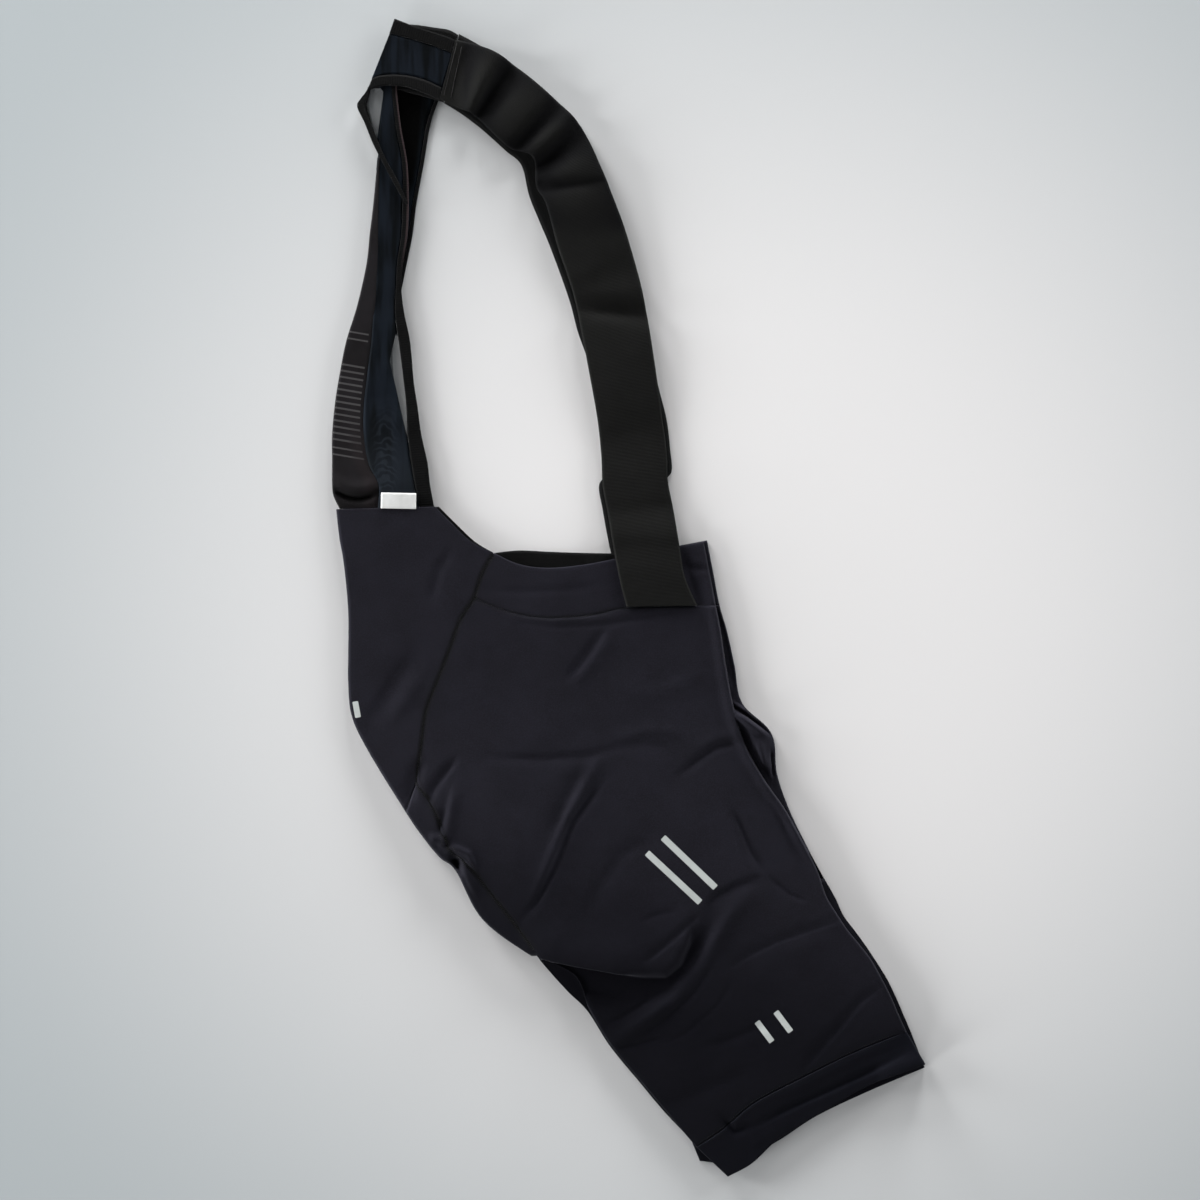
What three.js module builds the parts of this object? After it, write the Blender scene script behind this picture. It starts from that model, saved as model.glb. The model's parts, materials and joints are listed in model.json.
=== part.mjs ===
// Cycling bib shorts laid flat on their left side, millimetres, +Z up off the surface they lie on.
// The right half is on top. Waist and straps run towards +Y, the leg ends are at -Y,
// the front of the body is at +X and the back at -X.
import * as THREE from 'three';

// Driving dimensions
const clothWall = 1.0;
const strapWall = 1.6;
const labelWall = 0.6;
const seamGap = 0.3;
const restGap = 0.4;
const waistHeight = 4.0;
const thighHeight = 6.2;
const seatRise = 5.2;
const foldRadius = 0.95;
const legFoldReach = 1.1;
const torsoCurlReach = 1.8;
const underLap = 5.0;
const shoulderFoldRadius = 0.65;
const labelLength = 28;
const labelWidth = 12.5;

// Heights of the middle of each layer above the surface
const floorLayer = clothWall / 2;
const lowerThighLayer = floorLayer + 2 * legFoldReach;
const upperThighLayer = lowerThighLayer + clothWall + seamGap;
const strapLift = strapWall + seamGap;
const lowerStrapLayer = strapWall / 2;
const upperStrapLayer = lowerStrapLayer + strapLift;
const strapOverWaist = waistHeight + clothWall / 2 + seamGap + strapWall / 2;
const upperBackLayer = 3.1;
const shoulderLayer = upperBackLayer + 2 * shoulderFoldRadius;
const lowerShoulderLayer = floorLayer + 2 * shoulderFoldRadius;
const torsoRearSplit = 2.15;
const lowerFoldLayer = floorLayer + 2 * foldRadius;
const torsoFrontEnd = lowerFoldLayer + clothWall / 2 + restGap;
const lowerLegSplit = (floorLayer + lowerThighLayer) / 2;
const upperLegSplit = (upperThighLayer + thighHeight) / 2;

// Body rows from the waist to the leg end, each across from the rear edge to the front edge.
// Rows 0 to 2 are the waistband, row 8 ends the rear panel, row 13 is the crotch, row 19 the hem seam.
const waistRow = 2;
const gussetRow = 8;
const crotchRow = 13;
const legFrontRow = 10;
const hemRow = 19;
const bodyRows = [
  // rearX, rearY, seamX, seamY, frontX, frontY, lowerFrontX, lowerFrontY
  [-226, 34, -108, 36, 59, 45, 62, 46],
  [-224, 14, -118, 18, 64, 20, 67, 20],
  [-223, -6, -124, 0, 69, -6, 72, -6],
  [-223, -22, -135, -18, 73, -27, 78, -27],
  [-224, -45, -144, -43, 77, -54, 84, -54],
  [-224, -68, -153, -66, 83, -86, 90, -84],
  [-221, -95, -162, -90, 92, -116, 113, -113],
  [-207, -124, -166, -119, 107, -144, 117, -142],
  [-178, -171, -169, -146, 125, -170, 128, -170],
  [-165, -190, -156, -168, 139, -196, 141, -197],
  [-151, -207, -145, -197, 150, -218, 152, -218],
  [-138, -218, -130, -210, 157, -238, 164, -239],
  [-117, -256, -106, -240, 166, -253, 171, -254],
  [-78, -285, -70, -282, 174, -265, 180, -266],
  [-43, -302, -43, -302, 183, -276, 187, -277],
  [-31, -329, -31, -329, 193, -289, 195, -290],
  [-14, -357, -14, -357, 202, -305, 203, -305],
  [9, -385, 9, -385, 209, -319, 210, -319],
  [31, -411, 31, -411, 215, -333, 216, -333],
  [54, -438, 54, -438, 221, -346, 222, -347],
];

// Rows of the rear panel above the waistband, its open edge being the armhole
const rearTopRows = [
  // rearX, rearY, edgeX, edgeY
  [-233, 71, -155, 73],
  [-230, 58, -142, 60],
  [-228, 45, -126, 45],
];
const lowerArmholeReach = 3;

// Where the rear edge of the lower leg shows past the upper one
const lowerLegRear = [
  [-50, -313],
  [-33, -330],
  [-15, -358],
  [8, -386],
  [29, -411],
  [50, -433],
];

const waistTop = [[-108, 36], [-88, 27], [-64, 24], [-33, 27], [-3, 33], [29, 39], [59, 45]];
const waistSeam = [[-124, 0], [-96, -11], [-66, -16], [-31, -14], [-3, -8], [33, -6], [69, -6]];
const lowerWaistTop = [[-108, 36], [-88, 38], [-64, 37], [-33, 36], [-3, 36], [29, 40], [62, 46]];
const hemSeam = [[54, -438], [75, -424], [100, -403], [138, -383], [179, -363], [221, -346]];
const hemEdge = [[78, -462], [98, -451], [120, -431], [151, -412], [193, -391], [236, -372]];
const lowerHemEdge = [[57, -450], [86, -451], [119, -434], [150, -414], [192, -393], [236, -373]];

// Upper strap from the shoulder to the waist seam
const upperStrapRows = [
  // innerX, innerY, outerX, outerY
  [-151.2, 398.3, -138.4, 445.8],
  [-134, 390, -120, 441],
  [-122, 384, -98, 430],
  [-98, 361, -65, 403],
  [-77, 352, -39, 377],
  [-74, 329, -21, 340],
  [-66, 314, -15, 325],
  [-57, 281, -3, 293],
  [-45, 245, 9, 251],
  [-38, 213, 15, 221],
  [-30, 171, 22, 176],
  [-25, 142, 26, 147],
  [-22, 113, 30, 117],
  [-21, 90, 31, 93],
  [-17, 68, 35, 72],
  [-12, 38, 40, 42],
  [-6, 13, 46, 17],
  [-2, -7, 53, -6],
];

// Lower strap, which steps sideways once where it is folded
const lowerStrapRows = [
  // innerX, innerY, outerX, outerY
  [-147.8, 395.5, -136, 450.8],
  [-134, 387, -118, 441],
  [-118, 375, -99, 428],
  [-99, 358, -67, 400],
  [-86, 346, -44, 374],
  [-80, 322, -29, 336],
  [-72, 302, -19, 318],
  [-62, 278, -9, 289],
  [-48, 239, 5, 248],
  [-41, 213, 11, 220],
  [-33, 190, 18, 196],
  [-28, 166, 23, 171],
  [-21, 138, 30, 143],
  [-18, 114, 33, 118],
  [-17, 100, 34, 101],
  [-24, 90, 27, 91],
  [-21, 70, 31, 72],
  [-18, 53, 33, 55],
  [-14, 34, 38, 37],
  [-8, 12, 44, 15],
  [-4, -5, 50, -4],
];

// Upper half of the mesh back with its armhole binding, from the rear panel to the shoulder fold
const upperBackRows = [
  // meshX, meshY, splitX, splitY, edgeX, edgeY
  [-201, 72.1, -167, 73, -155.4, 73.3],
  [-200, 90, -171, 90, -159, 91],
  [-208, 107, -174, 107, -161, 108],
  [-212, 130, -177, 130, -166, 131],
  [-212, 152, -178, 152, -169, 153],
  [-210, 172, -180, 172, -172, 173],
  [-206, 204, -184, 204, -175, 205],
  [-204, 229, -187, 229, -180, 230],
  [-202, 250, -186, 250, -182, 251],
  [-202, 270, -185, 270, -180, 271],
  [-202, 290, -182, 290, -177, 290],
  [-202, 314, -181, 314, -176, 314],
  [-201, 346, -181, 346, -177, 346],
  [-199, 375, -186, 375, -182, 375],
  [-197, 398, -190, 397, -186, 396],
];
const upperShoulderFold = [-206, 414, -191, 451, -187, 462.5];
const upperShoulderRows = [
  [-196, 414.5, -176, 447, -173, 457],
  [-180, 418, -163, 443, -160, 453],
  [-164, 414, -151, 439, -147.5, 449],
  [-149.2, 408, -141.5, 435, -138.8, 445.4],
];

// Lower half of the mesh back with both its bindings
const lowerBackRows = [
  // neckX, neckY, meshX, meshY, splitX, splitY, edgeX, edgeY
  [-201, 72.1, -199, 72.2, -170, 73, -167, 73.2],
  [-200, 90, -198, 90, -173, 90, -170, 90],
  [-208, 107, -206, 107, -176, 107, -173, 107],
  [-212, 130, -210, 130, -181, 131, -178, 131],
  [-212, 152, -210, 152, -186, 153, -183, 153],
  [-210, 172, -208, 172, -191, 173, -188, 173],
  [-206, 204, -204, 204, -192, 206, -189, 206],
  [-204, 229, -202, 229, -188, 230, -185, 230],
  [-203, 250, -201, 250, -184, 251, -181, 251],
  [-202, 270, -200, 270, -180, 271, -177, 271],
  [-202, 290, -199, 290, -176, 291, -173, 291],
  [-201, 314, -197, 314, -173, 315, -170, 315],
  [-198, 346, -195, 346, -167, 348, -164, 348],
  [-207, 374, -204, 374, -162, 378, -159, 378],
  [-213, 394, -210, 394, -155, 399, -152, 399],
];
const lowerShoulderFold = [-203, 412, -201, 416, -184, 450, -181, 459];
const lowerShoulderRows = [
  [-190, 408, -186, 416, -173, 449, -169, 458],
  [-176, 404, -173, 412, -159, 446, -156, 456],
  [-161, 400, -159, 408, -147, 443, -144, 454],
  [-148, 396, -147, 403, -138, 440, -136.5, 450],
];

// Neck binding of the upper half, folded over onto the mesh and then along the shoulder
const neckBindingRows = [
  // outerX, outerY, innerX, innerY
  [-179, 315, -176, 314.5],
  [-189, 333, -185, 334],
  [-198, 350, -194, 350],
  [-205, 364, -200.5, 365],
  [-211, 379, -206.5, 380],
  [-217, 392, -212.5, 393],
  [-214.5, 398, -212, 401.5],
  [-208, 403.5, -207, 406.5],
  [-196, 405.5, -196, 411.2],
  [-180, 407.5, -180, 416.8],
  [-164, 402.5, -164, 412.9],
  [-151.5, 397.8, -149.6, 407.2],
];

// Centre back panel: a fold whose left side is its contour, open towards the mesh
const centreRows = [
  // contourX, contourY, upperX, upperY, lowerX
  [-231, 71.4, -201.3, 72.1, -201.3],
  [-236, 82, -201.5, 82, -201.5],
  [-237, 93, -201.5, 92, -201.5],
  [-237, 110, -208.6, 107, -208.6],
  [-237, 130, -212.3, 130, -212.3],
  [-235, 153, -212.3, 152, -212.3],
  [-232, 173, -210.3, 172, -210.3],
  [-226, 204, -206.3, 204, -206.3],
  [-218, 230, -204.3, 229, -204.3],
  [-213, 250, -202.8, 250, -203.3],
  [-209, 270, -202.3, 270, -202.3],
  [-207, 290, -202.3, 290, -202.3],
  [-205.8, 310, -202.3, 310, -202.3],
  [-204.6, 330, -202.1, 330, -202.1],
];

const straightPlan = (left, right) => (u) => [
  left[0] + (right[0] - left[0]) * u,
  left[1] + (right[1] - left[1]) * u,
];

const mix = (a, b, f) => a + (b - a) * f;
const smooth = (from, to, value) => {
  const f = Math.min(Math.max((value - from) / (to - from), 0), 1);
  return f * f * (3 - 2 * f);
};

// Smooth curve through rows of numbers, t counting rows
function along(rows, t) {
  const last = rows.length - 1;
  const k = Math.min(Math.max(Math.floor(t), 0), last - 1);
  const f = t - k;
  const before = rows[Math.max(k - 1, 0)];
  const start = rows[k];
  const end = rows[k + 1];
  const after = rows[Math.min(k + 2, last)];
  return start.map((value, i) => {
    const slopeIn = (end[i] - before[i]) / 2;
    const slopeOut = (after[i] - value) / 2;
    const rise = end[i] - value;
    return value + f * (slopeIn + f * (3 * rise - 2 * slopeIn - slopeOut + f * (slopeIn + slopeOut - 2 * rise)));
  });
}

const pair = (rows, column) => rows.map((row) => [row[column], row[column + 1]]);
const rearEdge = pair(bodyRows, 0);
const sideSeam = pair(bodyRows, 2);
const frontEdge = pair(bodyRows, 4);
const lowerFrontEdge = pair(bodyRows, 6);
// Where the lower side seam comes out at the rear contour, below the seat
const lowerCrotch = [-75.5, -284];
const lowerSideSeam = sideSeam.slice(0, crotchRow).concat([lowerCrotch], lowerLegRear);
const upperRear = pair(rearTopRows, 0).concat(rearEdge);
const armhole = pair(rearTopRows, 2).concat([sideSeam[0]]);
const lowerArmhole = armhole.map(([x, y], i) => (i < armhole.length - 1 ? [x + lowerArmholeReach, y] : [x, y]));
const topRowCount = rearTopRows.length;

// How far a curve bows away from the straight line between its ends
const bow = (curve, u) => {
  const last = curve.length - 1;
  const [x, y] = along(curve, u * last);
  return [x - mix(curve[0][0], curve[last][0], u), y - mix(curve[0][1], curve[last][1], u)];
};

// Soft ridges of the upper half: ends, half width and height
const ridges = [
  // fromX, fromY, toX, toY, width, height
  [-12, -145, -34, -155, 10, 1.0],
  [-34, -155, -75, -232, 12, 1.3],
  [90, -112, 48, -132, 8, 1.0],
  [-108, -128, -4, -116, 8, 0.6],
  [-60, -281, 40, -302, 9, 2.2],
  [45, -298, 82, -248, 10, 1.4],
  [150, -270, 116, -274, 9, 0.8],
  [194, -312, 135, -380, 10, 0.9],
];

function ridgeRise(x, y) {
  let rise = 0;
  for (const [ax, ay, bx, by, width, height] of ridges) {
    const dx = bx - ax;
    const dy = by - ay;
    const s = Math.min(Math.max(((x - ax) * dx + (y - ay) * dy) / (dx * dx + dy * dy), 0), 1);
    const away = Math.hypot(x - ax - s * dx, y - ay - s * dy) / width;
    rise += height * Math.exp(-away * away);
  }
  return rise;
}

const seatMiddle = [-102, -208];
const seatAxis = [0.66, -0.75];
const seatHalfLength = 92;
const seatHalfWidth = 52;

// Share of the seat rise at a place, with a steep edge where the seat laps over the leg
function seatShare(x, y) {
  const [cx, cy] = seatMiddle;
  const [ax, ay] = seatAxis;
  const lengthwise = ((x - cx) * ax + (y - cy) * ay) / seatHalfLength;
  const across = ((x - cx) * ay - (y - cy) * ax) / seatHalfWidth;
  const lapLine = -288 - 0.2 * (x + 62);
  return Math.exp(-(lengthwise * lengthwise) - across * across) * smooth(-7, 9, y - lapLine);
}

const thighShare = (y) => smooth(-60, -215, y);

function upperHeight(x, y) {
  const hemFade = smooth(12, 40, (y + 438) - 0.5 * (x - 54));
  const base = mix(waistHeight, thighHeight, thighShare(y));
  return base + seatRise * seatShare(x, y) + ridgeRise(x, y) * hemFade;
}

const upperThighHeight = (x, y) => upperThighLayer + 1.2 * seatShare(x, y);
const lowerThighHeight = (x, y) => lowerThighLayer + 1.2 * seatShare(x, y);

// The lower waistband lies over the end of the lower strap
function lowerHeight(x, y) {
  const strapMiddle = 22 - 0.28 * y;
  const beside = smooth(-50, -39, x - strapMiddle) * smooth(41, 31, x - strapMiddle);
  const lengthwise = smooth(-34, -16, y);
  return floorLayer + strapLift * beside * lengthwise;
}

function addPoint(row, plan, z) {
  row.push(new THREE.Vector3(plan[0], plan[1], z));
}

// A row that curls to a stated height at one end or both, or turns back under at its front
function layRow(plan, height, columns, rear, front) {
  const start = plan(0);
  const end = plan(1);
  const length = Math.hypot(end[0] - start[0], end[1] - start[1]);
  const row = [];
  const rearShare = rear.reach / length;
  const rearTop = height(...plan(rearShare));
  for (let i = 0; i < rear.steps; i += 1) {
    const angle = (Math.PI / 2) * (i / rear.steps);
    const z = mix(rear.end, rearTop, Math.sin(angle));
    addPoint(row, plan(rearShare * (1 - Math.cos(angle))), z);
  }
  const frontShare = 1 - front.reach / length;
  for (const share of columns) {
    const place = plan(mix(rearShare, frontShare, share));
    addPoint(row, place, height(...place));
  }
  const base = plan(frontShare);
  const frontTop = height(...base);
  if (front.turn === undefined) {
    for (let i = 1; i <= front.steps; i += 1) {
      const angle = (Math.PI / 2) * (1 - i / front.steps);
      const z = mix(front.end, frontTop, Math.sin(angle));
      addPoint(row, plan(1 - (1 - frontShare) * (1 - Math.cos(angle))), z);
    }
    return row;
  }
  const out = [(end[0] - base[0]) / front.reach, (end[1] - base[1]) / front.reach];
  const turned = (angle, leaf) => {
    const reach = front.reach * Math.sin(angle) + leaf * Math.cos(angle);
    const z = frontTop + front.reach * (1 - Math.cos(angle)) + leaf * Math.sin(angle);
    addPoint(row, [base[0] + out[0] * reach, base[1] + out[1] * reach], z);
  };
  for (let i = 1; i <= front.steps; i += 1) {
    turned(front.turn * (i / front.steps), 0);
  }
  for (let i = 1; i <= front.leafSteps; i += 1) {
    turned(front.turn, front.leaf * (i / front.leafSteps));
  }
  return row;
}

// Moves the chosen edges of a grid inwards so that pieces sewn together stay a seam gap apart
function trim(grid, edges) {
  const inset = seamGap / 2;
  const shift = (point, towards, amount) => {
    const step = towards.clone().sub(point);
    point.addScaledVector(step.normalize(), amount);
  };
  const lastRow = grid.length - 1;
  const lastColumn = grid[0].length - 1;
  if (edges.includes('first')) grid[0].forEach((point, i) => shift(point, grid[1][i], inset));
  if (edges.includes('last')) grid[lastRow].forEach((point, i) => shift(point, grid[lastRow - 1][i], inset));
  if (edges.includes('left')) grid.forEach((row) => shift(row[0], row[1], inset));
  if (edges.includes('right')) grid.forEach((row) => shift(row[lastColumn], row[lastColumn - 1], inset));
  return grid;
}

// A closed solid of even wall on a grid of middle points, or a tube where the rows close on themselves
function shell(grid, wall, closed = false) {
  const rows = grid.length;
  const columns = grid[0].length;
  const upper = [];
  const lower = [];
  for (let r = 0; r < rows; r += 1) {
    for (let c = 0; c < columns; c += 1) {
      const ahead = closed ? grid[r][(c + 1) % columns] : grid[r][Math.min(c + 1, columns - 1)];
      const behind = closed ? grid[r][(c + columns - 1) % columns] : grid[r][Math.max(c - 1, 0)];
      const along1 = ahead.clone().sub(behind);
      const along2 = grid[Math.min(r + 1, rows - 1)][c].clone().sub(grid[Math.max(r - 1, 0)][c]);
      const normal = along1.cross(along2).normalize();
      upper.push(grid[r][c].clone().addScaledVector(normal, wall / 2));
      lower.push(grid[r][c].clone().addScaledVector(normal, -wall / 2));
    }
  }
  const count = rows * columns;
  const faces = [];
  const quad = (a, b, c, d) => faces.push([a, b, c], [a, c, d]);
  const spans = closed ? columns : columns - 1;
  for (let r = 0; r < rows - 1; r += 1) {
    for (let c = 0; c < spans; c += 1) {
      const a = r * columns + c;
      const b = r * columns + ((c + 1) % columns);
      quad(a, b, b + columns, a + columns);
      quad(count + a, count + a + columns, count + b + columns, count + b);
    }
    if (!closed) {
      const left = r * columns;
      const right = left + columns - 1;
      quad(left, left + columns, count + left + columns, count + left);
      quad(right, count + right, count + right + columns, right + columns);
    }
  }
  for (let c = 0; c < spans; c += 1) {
    const next = (c + 1) % columns;
    const end = (rows - 1) * columns;
    quad(c, count + c, count + next, next);
    quad(end + c, end + next, count + end + next, count + end + c);
  }
  const points = upper.concat(lower);
  let volume = 0;
  for (const [a, b, c] of faces) volume += points[a].dot(points[b].clone().cross(points[c]));
  const ordered = volume < 0 ? faces.map(([a, b, c]) => [a, c, b]) : faces;
  const geometry = new THREE.BufferGeometry();
  geometry.setAttribute('position', new THREE.Float32BufferAttribute(points.flatMap((p) => [p.x, p.y, p.z]), 3));
  geometry.setIndex(ordered.flat());
  geometry.computeVertexNormals();
  return geometry;
}

const steps = (from, to, count) => Array.from({ length: count + 1 }, (_, i) => mix(from, to, i / count));

// The way across a body row from its side seam to its front edge
function bodyPlan(t, seam, front, topCurve) {
  const left = along(seam, t);
  const right = along(front, t);
  const topShare = Math.max(1 - t / waistRow, 0);
  const waistShare = t < waistRow ? t / waistRow : 1 - smooth(waistRow, waistRow + 5, t);
  const hemShare = smooth(crotchRow + 1, hemRow, t);
  return (u) => {
    const top = bow(topCurve, u);
    const waist = bow(waistSeam, u);
    const hem = bow(hemSeam, u);
    return [0, 1].map((i) => mix(left[i], right[i], u) + top[i] * topShare + waist[i] * waistShare + hem[i] * hemShare);
  };
}

function upperBodyRow(t, columns) {
  const plan = bodyPlan(t, sideSeam, frontEdge, waistTop);
  const curled = smooth(crotchRow, crotchRow + 1, t);
  const seamHeight = upperHeight(...plan(0));
  const leg = smooth(gussetRow, legFrontRow, t);
  const rear = {
    reach: mix(2.5, legFoldReach, curled),
    steps: 2,
    end: mix(seamHeight, upperLegSplit + seamGap / 2, curled),
  };
  const front = {
    reach: mix(torsoCurlReach, legFoldReach, leg),
    steps: 3,
    end: mix(torsoFrontEnd, upperLegSplit + seamGap / 2, leg),
  };
  return layRow(plan, upperHeight, columns, rear, front);
}

function lowerBodyRow(t, columns) {
  const plan = bodyPlan(t, lowerSideSeam, lowerFrontEdge, lowerWaistTop);
  const curled = smooth(crotchRow, crotchRow + 1, t);
  const leg = smooth(gussetRow + 0.4, legFrontRow - 0.2, t);
  const shows = Math.hypot(...along(lowerFrontEdge, t).map((value, i) => value - along(frontEdge, t)[i]));
  const rear = {
    reach: mix(2.5, legFoldReach, curled),
    steps: 2,
    end: mix(floorLayer, lowerLegSplit - seamGap / 2, curled),
  };
  const front = {
    reach: foldRadius,
    steps: 4,
    turn: mix(Math.PI, Math.PI / 2, leg),
    leaf: mix(shows + underLap, 0.05, leg),
    leafSteps: 2,
  };
  return layRow(plan, lowerHeight, columns, rear, front);
}

// Across the rear panel and the gusset, from the rear edge to the armhole or the side seam
function rearRow(t, columns, lower) {
  const seam = lower ? lowerSideSeam : sideSeam;
  const open = lower ? lowerArmhole : armhole;
  const edge = t < topRowCount ? along(open, t) : along(seam, t - topRowCount);
  const plan = straightPlan(along(upperRear, t), edge);
  const leg = smooth(topRowCount + 11, topRowCount + crotchRow, t);
  const height = lower ? lowerHeight : upperHeight;
  const split = lower
    ? mix(torsoRearSplit, lowerLegSplit, leg) - restGap / 2
    : mix(torsoRearSplit, upperLegSplit, leg) + restGap / 2;
  const narrow = smooth(topRowCount + gussetRow, topRowCount + crotchRow, t);
  const rear = { reach: mix(torsoCurlReach, 1.4, narrow), steps: 3, end: split };
  const place = plan(1);
  const front = { reach: 0.8, steps: 1, end: height(...place) };
  return layRow(plan, height, columns, rear, front);
}

// Inner thigh walls between the crotch and the hem seam
function innerThighRow(s, columns, lower) {
  const seam = lower ? lowerSideSeam : sideSeam;
  const front = lower ? lowerFrontEdge : frontEdge;
  const left = along(seam, mix(crotchRow + 0.15, hemRow, s));
  const right = along(front, mix(legFrontRow + 0.3, hemRow, s));
  const arch = 16 * (1 - smooth(0, 0.7, s));
  const hemShare = smooth(0.3, 1, s);
  const plan = (u) => {
    const hem = bow(hemSeam, u);
    const x = mix(left[0], right[0], u) + hem[0] * hemShare;
    const y = mix(left[1], right[1], u) + hem[1] * hemShare + arch * Math.sin(Math.PI * u);
    return [x, y];
  };
  const height = lower ? lowerThighHeight : upperThighHeight;
  const end = lower ? lowerLegSplit + seamGap / 2 : upperLegSplit - seamGap / 2;
  const curl = { reach: legFoldReach, steps: 3, end };
  return layRow(plan, height, columns, curl, curl);
}

// Hem band: one closed turn round the leg end, outer wall and inner wall
function hemRing(s, columns, foldSteps, ends, edgeCurve, topLayer, bottomLayer) {
  const radius = (topLayer - bottomLayer) / 2;
  const middle = (topLayer + bottomLayer) / 2;
  const seamLast = edgeCurve.length - 1;
  const plan = (u) => {
    const hem = bow(hemSeam, u);
    const edgePoint = along(edgeCurve, u * seamLast);
    return [0, 1].map((i) => mix(mix(ends[0][i], ends[1][i], u) + hem[i], edgePoint[i], s));
  };
  const start = plan(0);
  const end = plan(1);
  const length = Math.hypot(end[0] - start[0], end[1] - start[1]);
  const share = radius / length;
  const ring = [];
  for (const u of steps(share, 1 - share, columns)) addPoint(ring, plan(u), topLayer);
  for (let i = 1; i < foldSteps; i += 1) {
    const angle = Math.PI * (i / foldSteps);
    addPoint(ring, plan(1 - share * (1 - Math.sin(angle))), middle + radius * Math.cos(angle));
  }
  for (const u of steps(1 - share, share, columns)) addPoint(ring, plan(u), bottomLayer);
  for (let i = 1; i < foldSteps; i += 1) {
    const angle = Math.PI * (i / foldSteps);
    addPoint(ring, plan(share * (1 - Math.sin(angle))), middle - radius * Math.cos(angle));
  }
  return ring;
}

// A flat band between two long edges
function bandRow(edges, columns, height) {
  const row = [];
  for (const u of steps(0, 1, columns)) {
    const place = [mix(edges[0], edges[2], u), mix(edges[1], edges[3], u)];
    addPoint(row, place, height(...place));
  }
  return row;
}

// A back strip that runs up to the shoulder, folds over there and runs on to the strap
function backGrid(rows, fold, shoulderRows, columns, under, over) {
  const last = rows[0].length;
  const sides = [columns[0], columns[columns.length - 1] + 2];
  const length = Math.hypot(fold[last - 2] - fold[0], fold[last - 1] - fold[1]);
  const inward = [(fold[last - 1] - fold[1]) / length, -(fold[last - 2] - fold[0]) / length];
  const radius = shoulderFoldRadius;
  const foldAt = (reach) => fold.map((value, i) => value + inward[i % 2] * reach);
  const climb = rows.concat([foldAt(radius + 6), foldAt(radius)]);
  const run = [foldAt(radius), foldAt(radius + 6)].concat(shoulderRows);
  const list = [];
  for (const t of steps(0, climb.length - 1, 2 * (climb.length - 1))) list.push([along(climb, t), null]);
  const foldSteps = 4;
  for (let i = 1; i < foldSteps; i += 1) {
    const angle = Math.PI * (i / foldSteps);
    const z = mix(under(fold[0], fold[1]), over, (1 - Math.cos(angle)) / 2);
    list.push([foldAt(radius * (1 - Math.sin(angle))), z]);
  }
  for (const t of steps(0, run.length - 1, 2 * (run.length - 1))) list.push([along(run, t), over]);
  return list.map(([row, z]) => {
    const edges = [row[sides[0]], row[sides[0] + 1], row[sides[1]], row[sides[1] + 1]];
    return { edges, height: z === null ? under : () => z };
  });
}

function material(colour) {
  return new THREE.MeshStandardMaterial({ color: colour, roughness: 0.9, metalness: 0 });
}

const lycraColour = 0x1e1d24;
const hemColour = 0x14161e;
const strapColour = 0x191918;
const meshColour = 0x1c2630;
const bindingColour = 0x1b1b19;
const centreColour = 0x2a2927;
const labelColour = 0xd8d8d6;

const part = new THREE.Group();

function add(name, geometry, colour) {
  const mesh = new THREE.Mesh(geometry, material(colour));
  mesh.name = name;
  part.add(mesh);
}

// Body panels
const sideColumns = steps(0, 1, 13);
const lowerColumns = [0, 0.16, 0.32, 0.44, 0.5, 0.56, 0.7, 0.86, 0.91, 0.96, 1];
const upperSide = (from, to, count) => steps(from, to, count).map((t) => upperBodyRow(t, sideColumns));
const lowerSide = (from, to, count) => steps(from, to, count).map((t) => lowerBodyRow(t, lowerColumns));
const sideRowCount = 2 * (hemRow - waistRow);
add('waistband_right', shell(trim(upperSide(0, waistRow, 4), ['left', 'last']), clothWall), lycraColour);
add('waistband_left', shell(trim(lowerSide(0, waistRow, 4), ['left', 'last']), clothWall), lycraColour);
const sideEdges = ['left', 'first', 'last'];
add('side_panel_right', shell(trim(upperSide(waistRow, hemRow, sideRowCount), sideEdges), clothWall), lycraColour);
add('side_panel_left', shell(trim(lowerSide(waistRow, hemRow, sideRowCount), sideEdges), clothWall), lycraColour);

const rearGrid = (from, to, columns, lower) => {
  const count = Math.round(2 * (to - from));
  return steps(from, to, count).map((t) => rearRow(t, steps(0, 1, columns), lower));
};
const gussetStart = topRowCount + gussetRow;
const gussetEnd = topRowCount + crotchRow;
for (const [side, lower] of [['right', false], ['left', true]]) {
  const rearPanel = trim(rearGrid(0, gussetStart, 5, lower), ['right', 'last', 'first']);
  add(`rear_panel_${side}`, shell(rearPanel, clothWall), lycraColour);
  const gusset = trim(rearGrid(gussetStart, gussetEnd, 2, lower), ['right', 'first', 'last']);
  add(`gusset_${side}`, shell(gusset, clothWall), lycraColour);
  const thigh = trim(steps(0, 1, 9).map((s) => innerThighRow(s, steps(0, 1, 8), lower)), ['last']);
  add(`inner_thigh_${side}`, shell(thigh, clothWall), lycraColour);
}

// Hem bands
const ringStart = 0.012;
const ringRows = (ends, edge, top, bottom) =>
  steps(ringStart, 1, 3).map((s) => hemRing(s, 12, 4, ends, edge, top, bottom));
const upperHem = ringRows([sideSeam[hemRow], frontEdge[hemRow]], hemEdge, thighHeight, upperThighLayer);
const lowerHem = ringRows([lowerSideSeam[hemRow], lowerFrontEdge[hemRow]], lowerHemEdge, lowerThighLayer, floorLayer);
add('hem_band_right', shell(upperHem, clothWall, true), hemColour);
add('hem_band_left', shell(lowerHem, clothWall, true), hemColour);

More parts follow.
